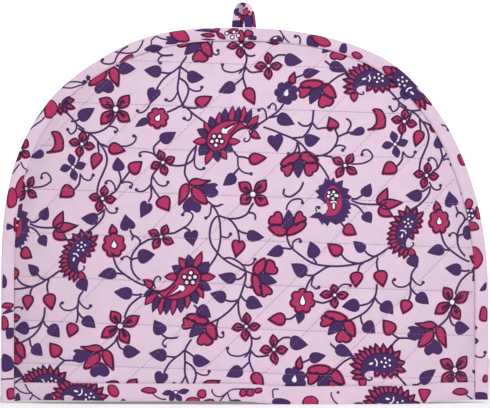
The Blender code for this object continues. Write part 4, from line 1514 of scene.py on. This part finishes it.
# The hem band's width under the panel, its rounding at the foot and how much lower it ends inside.
BAND_UNDER = 5.0
FOOT_ROUND = 0.9
ENDS_LOWER = 1.2


def hem_band(name, side, shapes, material):
    """The strip round a panel's lower edge. Its inner fold is lower beside the seams."""
    reach = HALF - SEAM - GAP
    step = 2 * (HALF - SEAM) / 36
    low = -BAND_UNDER - (HEM_BAND - ENDS_LOWER)

    def depths(x):
        beside_seam = smooth((np.abs(x) - (reach - step)) / step)
        z_low, z_high = np.full_like(x, PANEL_EDGE), np.full_like(x, HEM_LINE)
        inside = inner_depth(x, z_low) - GAP + (STRIP + 2 * GAP) * beside_seam
        return outer_depth(x, z_low) + GAP, outer_depth(x, z_high) + GAP, inside

    def climb(x):
        near_seam = smooth((np.abs(x) - (reach - 2 * step)) / step)
        return ENDS_LOWER + (HEM_BAND - ENDS_LOWER) * (1 - near_seam)

    def faces_at(place, thick):
        x, q = place[:, 0], place[:, 1]
        low_out, high_out, inside = depths(x)
        foot = STRIP - thick
        share = np.clip(q / HEM_BAND, 0, 1)
        puff = 0.35 * np.sin(math.pi * share) ** 0.7
        puff += 0.12 * np.sin(x / 2.1 + np.sin(x / 13)) * share
        ends = smooth((q - HEM_BAND + TURN_WIDTH) / TURN_WIDTH) * TURN_DEPTH
        leg = low_out + (high_out - low_out) * share + thick + (puff - ends) * (thick / STRIP)
        under = np.clip(-q / BAND_UNDER, 0, 1)
        start_depth, end_depth = low_out + thick, inside - thick
        bottom = start_depth + (end_depth - start_depth) * under
        rounding = FOOT_ROUND * np.abs(2 * under - 1) ** 6
        leg_z = foot + FOOT_ROUND + (HEM_BAND - FOOT_ROUND - foot) * share
        rise = np.clip((-BAND_UNDER - q) / (HEM_BAND - ENDS_LOWER), 0, 1)
        in_z = foot + FOOT_ROUND + (climb(x) - FOOT_ROUND - foot) * rise
        depth = np.where(q >= 0, leg - 0.5 * (1 - smooth(q / 1.6)), bottom)
        depth = np.where(q < -BAND_UNDER, end_depth, depth)
        pinch = 0.5 * np.abs(2 * under - 1) ** 6
        depth = np.where((q < 0) & (q >= -BAND_UNDER) & (under < 0.5), depth - pinch, depth)
        z = np.where(q >= 0, leg_z, foot + rounding)
        z = np.where(q < -BAND_UNDER, in_z, z)
        return settled(side * x, -side * depth, z)

    def outer(place):
        return faces_at(place, STRIP)

    def inner(place):
        return faces_at(place, 0.0)

    x = np.linspace(-reach, reach, 140)
    bottom = np.stack([x, np.full_like(x, low)], axis=1)
    top = np.stack([x[::-1], np.full_like(x, HEM_BAND)], axis=1)
    q = np.linspace(low, HEM_BAND, 16)[1:-1]
    right = np.stack([np.full_like(q, reach), q], axis=1)
    left = np.stack([np.full_like(q, -reach), q[::-1]], axis=1)
    rim = np.concatenate([bottom, right, top, left])
    creases = [np.stack([x, np.full_like(x, place)], axis=1)[1:-1] for place in (
        11.6, 9.0, 5.0, 2.0, 0.8, 0.0, -0.4, -1.0, -2.5, -4.0, -4.6, -5.0, -6.0, low + 4
    )]
    return two_faced(name, rim, 2.0, creases, shapes, outer, inner, material, False)


TAPE_ROWS, TAPE_POINTS = 110, 44
TAPE_POWER = 0.55
TAPE_NARROWS, NARROWS_FROM = 0.42, 0.55


def hanging_loop(shapes, material):
    """The folded tape: up the front leg, over and down the back leg."""
    turn = LEG_APART / 2
    foot = HEIGHT + GAP
    shoulder = HEIGHT + LOOP_HEIGHT - TAPE_THICK / 2 - turn
    straight, bend = shoulder - foot, math.pi * turn
    total = 2 * straight + bend
    along = np.linspace(0, total, TAPE_ROWS)
    half_width, half_thick = TAPE_WIDTH / 2, TAPE_THICK / 2
    angle = np.arange(TAPE_POINTS) * 2 * math.pi / TAPE_POINTS
    across = half_width * np.sign(np.cos(angle)) * np.abs(np.cos(angle)) ** TAPE_POWER
    lift = half_thick * np.sign(np.sin(angle)) * np.abs(np.sin(angle)) ** TAPE_POWER
    corners, flat = [], []
    for s in along:
        if s < straight:
            y, z, out = -turn, foot + s, (1.0, 0.0)
        elif s < straight + bend:
            a = (s - straight) / turn
            out = (math.cos(a), -math.sin(a))
            y, z = -turn * out[0], shoulder - turn * out[1]
        else:
            y, z, out = turn, shoulder - (s - straight - bend), (-1.0, 0.0)
        climb = (z - foot) / (HEIGHT + LOOP_HEIGHT - foot)
        leg_x = FRONT_LEG_X if y < 0 else BACK_LEG_X
        aside = abs(y) / turn if z > shoulder else 1.0
        middle = leg_x * aside * (1 - LEG_DRAW_IN * float(smooth(climb)))
        narrow = 1 - TAPE_NARROWS * float(smooth((climb - NARROWS_FROM) / (1 - NARROWS_FROM)))
        section = settled(middle + across * narrow, y - out[0] * lift, z - out[1] * lift)
        corners.append(section)
        flat.append(np.stack([middle + across, np.full_like(across, s)], axis=1))
    count = len(angle)
    corners, flat = np.concatenate(corners), np.concatenate(flat)
    faces = []
    for row in range(len(along) - 1):
        for i in range(count):
            j = (i + 1) % count
            here, above = row * count, (row + 1) * count
            faces.append((here + i, here + j, above + j, above + i))
    middles = np.array([flat[list(face)].mean(axis=0) for face in faces])
    colours = ink_colours(screens_at(middles, shapes))
    faces.append(tuple(reversed(range(count))))
    faces.append(tuple(range(len(corners) - count, len(corners))))
    colours = np.concatenate([colours, np.tile(GROUND_COLOUR, (2, 1))])
    piece = mesh_piece("loop", corners, faces, colours, flat, None, material)
    return piece, total


# Materials and studio


def node(tree, kind, **values):
    """A shader node with its inputs and settings set by name."""
    made = tree.nodes.new(kind)
    for key, value in values.items():
        if key in made.inputs:
            made.inputs[key].default_value = value
        else:
            setattr(made, key, value)
    return made


def printed_cotton(name):
    """Plain woven cotton with its print in the cloth's own colours."""
    material = bpy.data.materials.new(name)
    material.use_nodes = True
    tree = material.node_tree
    shader = tree.nodes["Principled BSDF"]
    shader.inputs["Roughness"].default_value = 0.88
    shader.inputs["Specular IOR Level"].default_value = 0.25
    shader.inputs["Sheen Weight"].default_value = 0.08
    shader.inputs["Sheen Roughness"].default_value = 0.5
    link = tree.links.new
    cloth = node(tree, "ShaderNodeUVMap", uv_map="Cloth")
    ink = node(tree, "ShaderNodeVertexColor", layer_name="print")
    patch = node(tree, "ShaderNodeTexNoise", Scale=9.0, Detail=3.0, Roughness=0.6)
    grain = node(tree, "ShaderNodeTexNoise", Scale=90.0, Detail=2.0, Roughness=0.7)
    link(cloth.outputs["UV"], patch.inputs["Vector"])
    link(cloth.outputs["UV"], grain.inputs["Vector"])
    uneven = node(tree, "ShaderNodeMath", operation="MULTIPLY_ADD")
    link(grain.outputs["Fac"], uneven.inputs[0])
    uneven.inputs[1].default_value = 0.6
    link(patch.outputs["Fac"], uneven.inputs[2])
    shade = node(tree, "ShaderNodeMapRange")
    shade.inputs["From Min"].default_value = 0.3
    shade.inputs["From Max"].default_value = 1.3
    shade.inputs["To Min"].default_value = 0.9
    shade.inputs["To Max"].default_value = 1.08
    link(uneven.outputs[0], shade.inputs["Value"])
    mixed = node(tree, "ShaderNodeVectorMath", operation="SCALE")
    link(ink.outputs["Color"], mixed.inputs[0])
    link(shade.outputs["Result"], mixed.inputs["Scale"])
    link(mixed.outputs[0], shader.inputs["Base Color"])
    warp = node(tree, "ShaderNodeTexWave", bands_direction="X", Scale=70.0, Distortion=0.6)
    weft = node(tree, "ShaderNodeTexWave", bands_direction="Y", Scale=70.0, Distortion=0.6)
    link(cloth.outputs["UV"], warp.inputs["Vector"])
    link(cloth.outputs["UV"], weft.inputs["Vector"])
    weave = node(tree, "ShaderNodeMath", operation="MULTIPLY")
    link(warp.outputs["Fac"], weave.inputs[0])
    link(weft.outputs["Fac"], weave.inputs[1])
    rough = node(tree, "ShaderNodeMath", operation="MULTIPLY_ADD")
    link(grain.outputs["Fac"], rough.inputs[0])
    rough.inputs[1].default_value = 1.2
    link(weave.outputs[0], rough.inputs[2])
    bump = node(tree, "ShaderNodeBump", Strength=0.5, Distance=0.00006)
    link(rough.outputs[0], bump.inputs["Height"])
    link(bump.outputs["Normal"], shader.inputs["Normal"])
    return material


def plain_material(name, colour, roughness, glow=0.0):
    material = bpy.data.materials.new(name)
    material.use_nodes = True
    shader = material.node_tree.nodes["Principled BSDF"]
    shader.inputs["Base Color"].default_value = (*colour, 1.0)
    shader.inputs["Roughness"].default_value = roughness
    if glow:
        shader.inputs["Emission Color"].default_value = (*colour, 1.0)
        shader.inputs["Emission Strength"].default_value = glow
    return material


def board(name, corners, material):
    """A flat stage board, which is no part of the cosy."""
    mesh = bpy.data.meshes.new(name)
    mesh.from_pydata(corners, [], [(0, 1, 2, 3)])
    mesh.materials.append(material)
    piece = bpy.data.objects.new(name, mesh)
    bpy.context.scene.collection.objects.link(piece)
    return piece


def light(name, place, aim, size, power, colour):
    lamp = bpy.data.lights.new(name, "AREA")
    lamp.shape = "DISK"
    lamp.size = size
    lamp.energy = power
    lamp.color = colour
    piece = bpy.data.objects.new(name, lamp)
    piece.location = place
    piece.rotation_euler = (Vector(aim) - Vector(place)).to_track_quat("-Z", "Y").to_euler()
    bpy.context.scene.collection.objects.link(piece)


FLOOR_GLOW = 0.2
WORLD_STRENGTH = 0.41


def studio():
    """White floor and backdrop, soft light from above and a little to the right with a weaker fill from
    the left, and a straight camera.
    """
    pale = plain_material("pale_floor", (0.95, 0.95, 0.95), 0.9, FLOOR_GLOW)
    board("floor", [(-3, -3, 0), (3, -3, 0), (3, 1.6, 0), (-3, 1.6, 0)], pale)
    far = 12
    white = plain_material("white_backdrop", (1, 1, 1), 1.0, 1.0)
    board("backdrop", [(-3, far, -1), (3, far, -1), (3, far, 3), (-3, far, 3)], white)
    world = bpy.data.worlds.new("studio")
    bpy.context.scene.world = world
    world.use_nodes = True
    background = world.node_tree.nodes["Background"]
    background.inputs["Color"].default_value = (1, 1, 1, 1)
    background.inputs["Strength"].default_value = WORLD_STRENGTH
    light("key", (0.5, -1.6, 2.0), (0, 0, 0.2), size=0.7, power=30, colour=(0.97, 0.97, 1.0))
    light("fill", (-1.3, -2.0, 0.6), (0, 0, 0.13), size=1.2, power=4, colour=(1.0, 0.9, 0.9))
    scene = bpy.context.scene
    scene.view_settings.view_transform = "Standard"
    lens = bpy.data.cameras.new("camera")
    distance, across = 5.5, 0.332
    lens.sensor_width = 36.0
    lens.lens = lens.sensor_width * distance / across
    camera = bpy.data.objects.new("camera", lens)
    camera.location = (0.0003, -distance, 0.1347)
    camera.rotation_euler = (math.radians(90), 0, 0)
    lens.clip_end = 50
    scene.collection.objects.link(camera)
    scene.camera = camera


def main():
    base, left = repeat_drawing()
    flat = [on_flat(base), on_flat(left)]
    low, high = np.array([-HALF - 7.0, -5.0]), np.array([HALF + 7.0, HEIGHT + 8.0])
    front_print = [shape for part in flat for shape in stepped(part, low, high)]
    back_print = [shape for part in flat for shape in stepped(part, low, high, BACK_OFFSET)]
    quilted = printed_cotton("quilted_print")
    strips = printed_cotton("strip_print")
    thread = plain_material("thread", tuple(srgb(160, 126, 172)), 0.7)
    front = panel("front", 1, front_print, quilted)
    back = panel("back", -1, back_print, quilted)
    front_thread = stitches("front_thread", 1, thread)
    back_thread = stitches("back_thread", -1, thread)
    edge = binding(binding_print(flat), strips)
    front_hem = hem_band("front_hem", 1, hem_print(flat), strips)
    back_hem = hem_band("back_hem", -1, back_hem_print(flat), strips)
    loop, loop_length = hanging_loop(loop_print_and_shade(), strips)
    for piece, node_name, slot_name in (
        (front, "front_panel", "quilted_print"), (back, "back_panel", "quilted_print"),
        (edge, "edge_binding", "strip_print"), (front_hem, "front_hem_band", "strip_print"),
        (back_hem, "back_hem_band", "strip_print"), (loop, "hanging_loop", "strip_print"),
    ):
        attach(piece, "root")
        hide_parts(node_name)
    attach(front_thread, "root")
    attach(back_thread, "root")
    studio()


main()
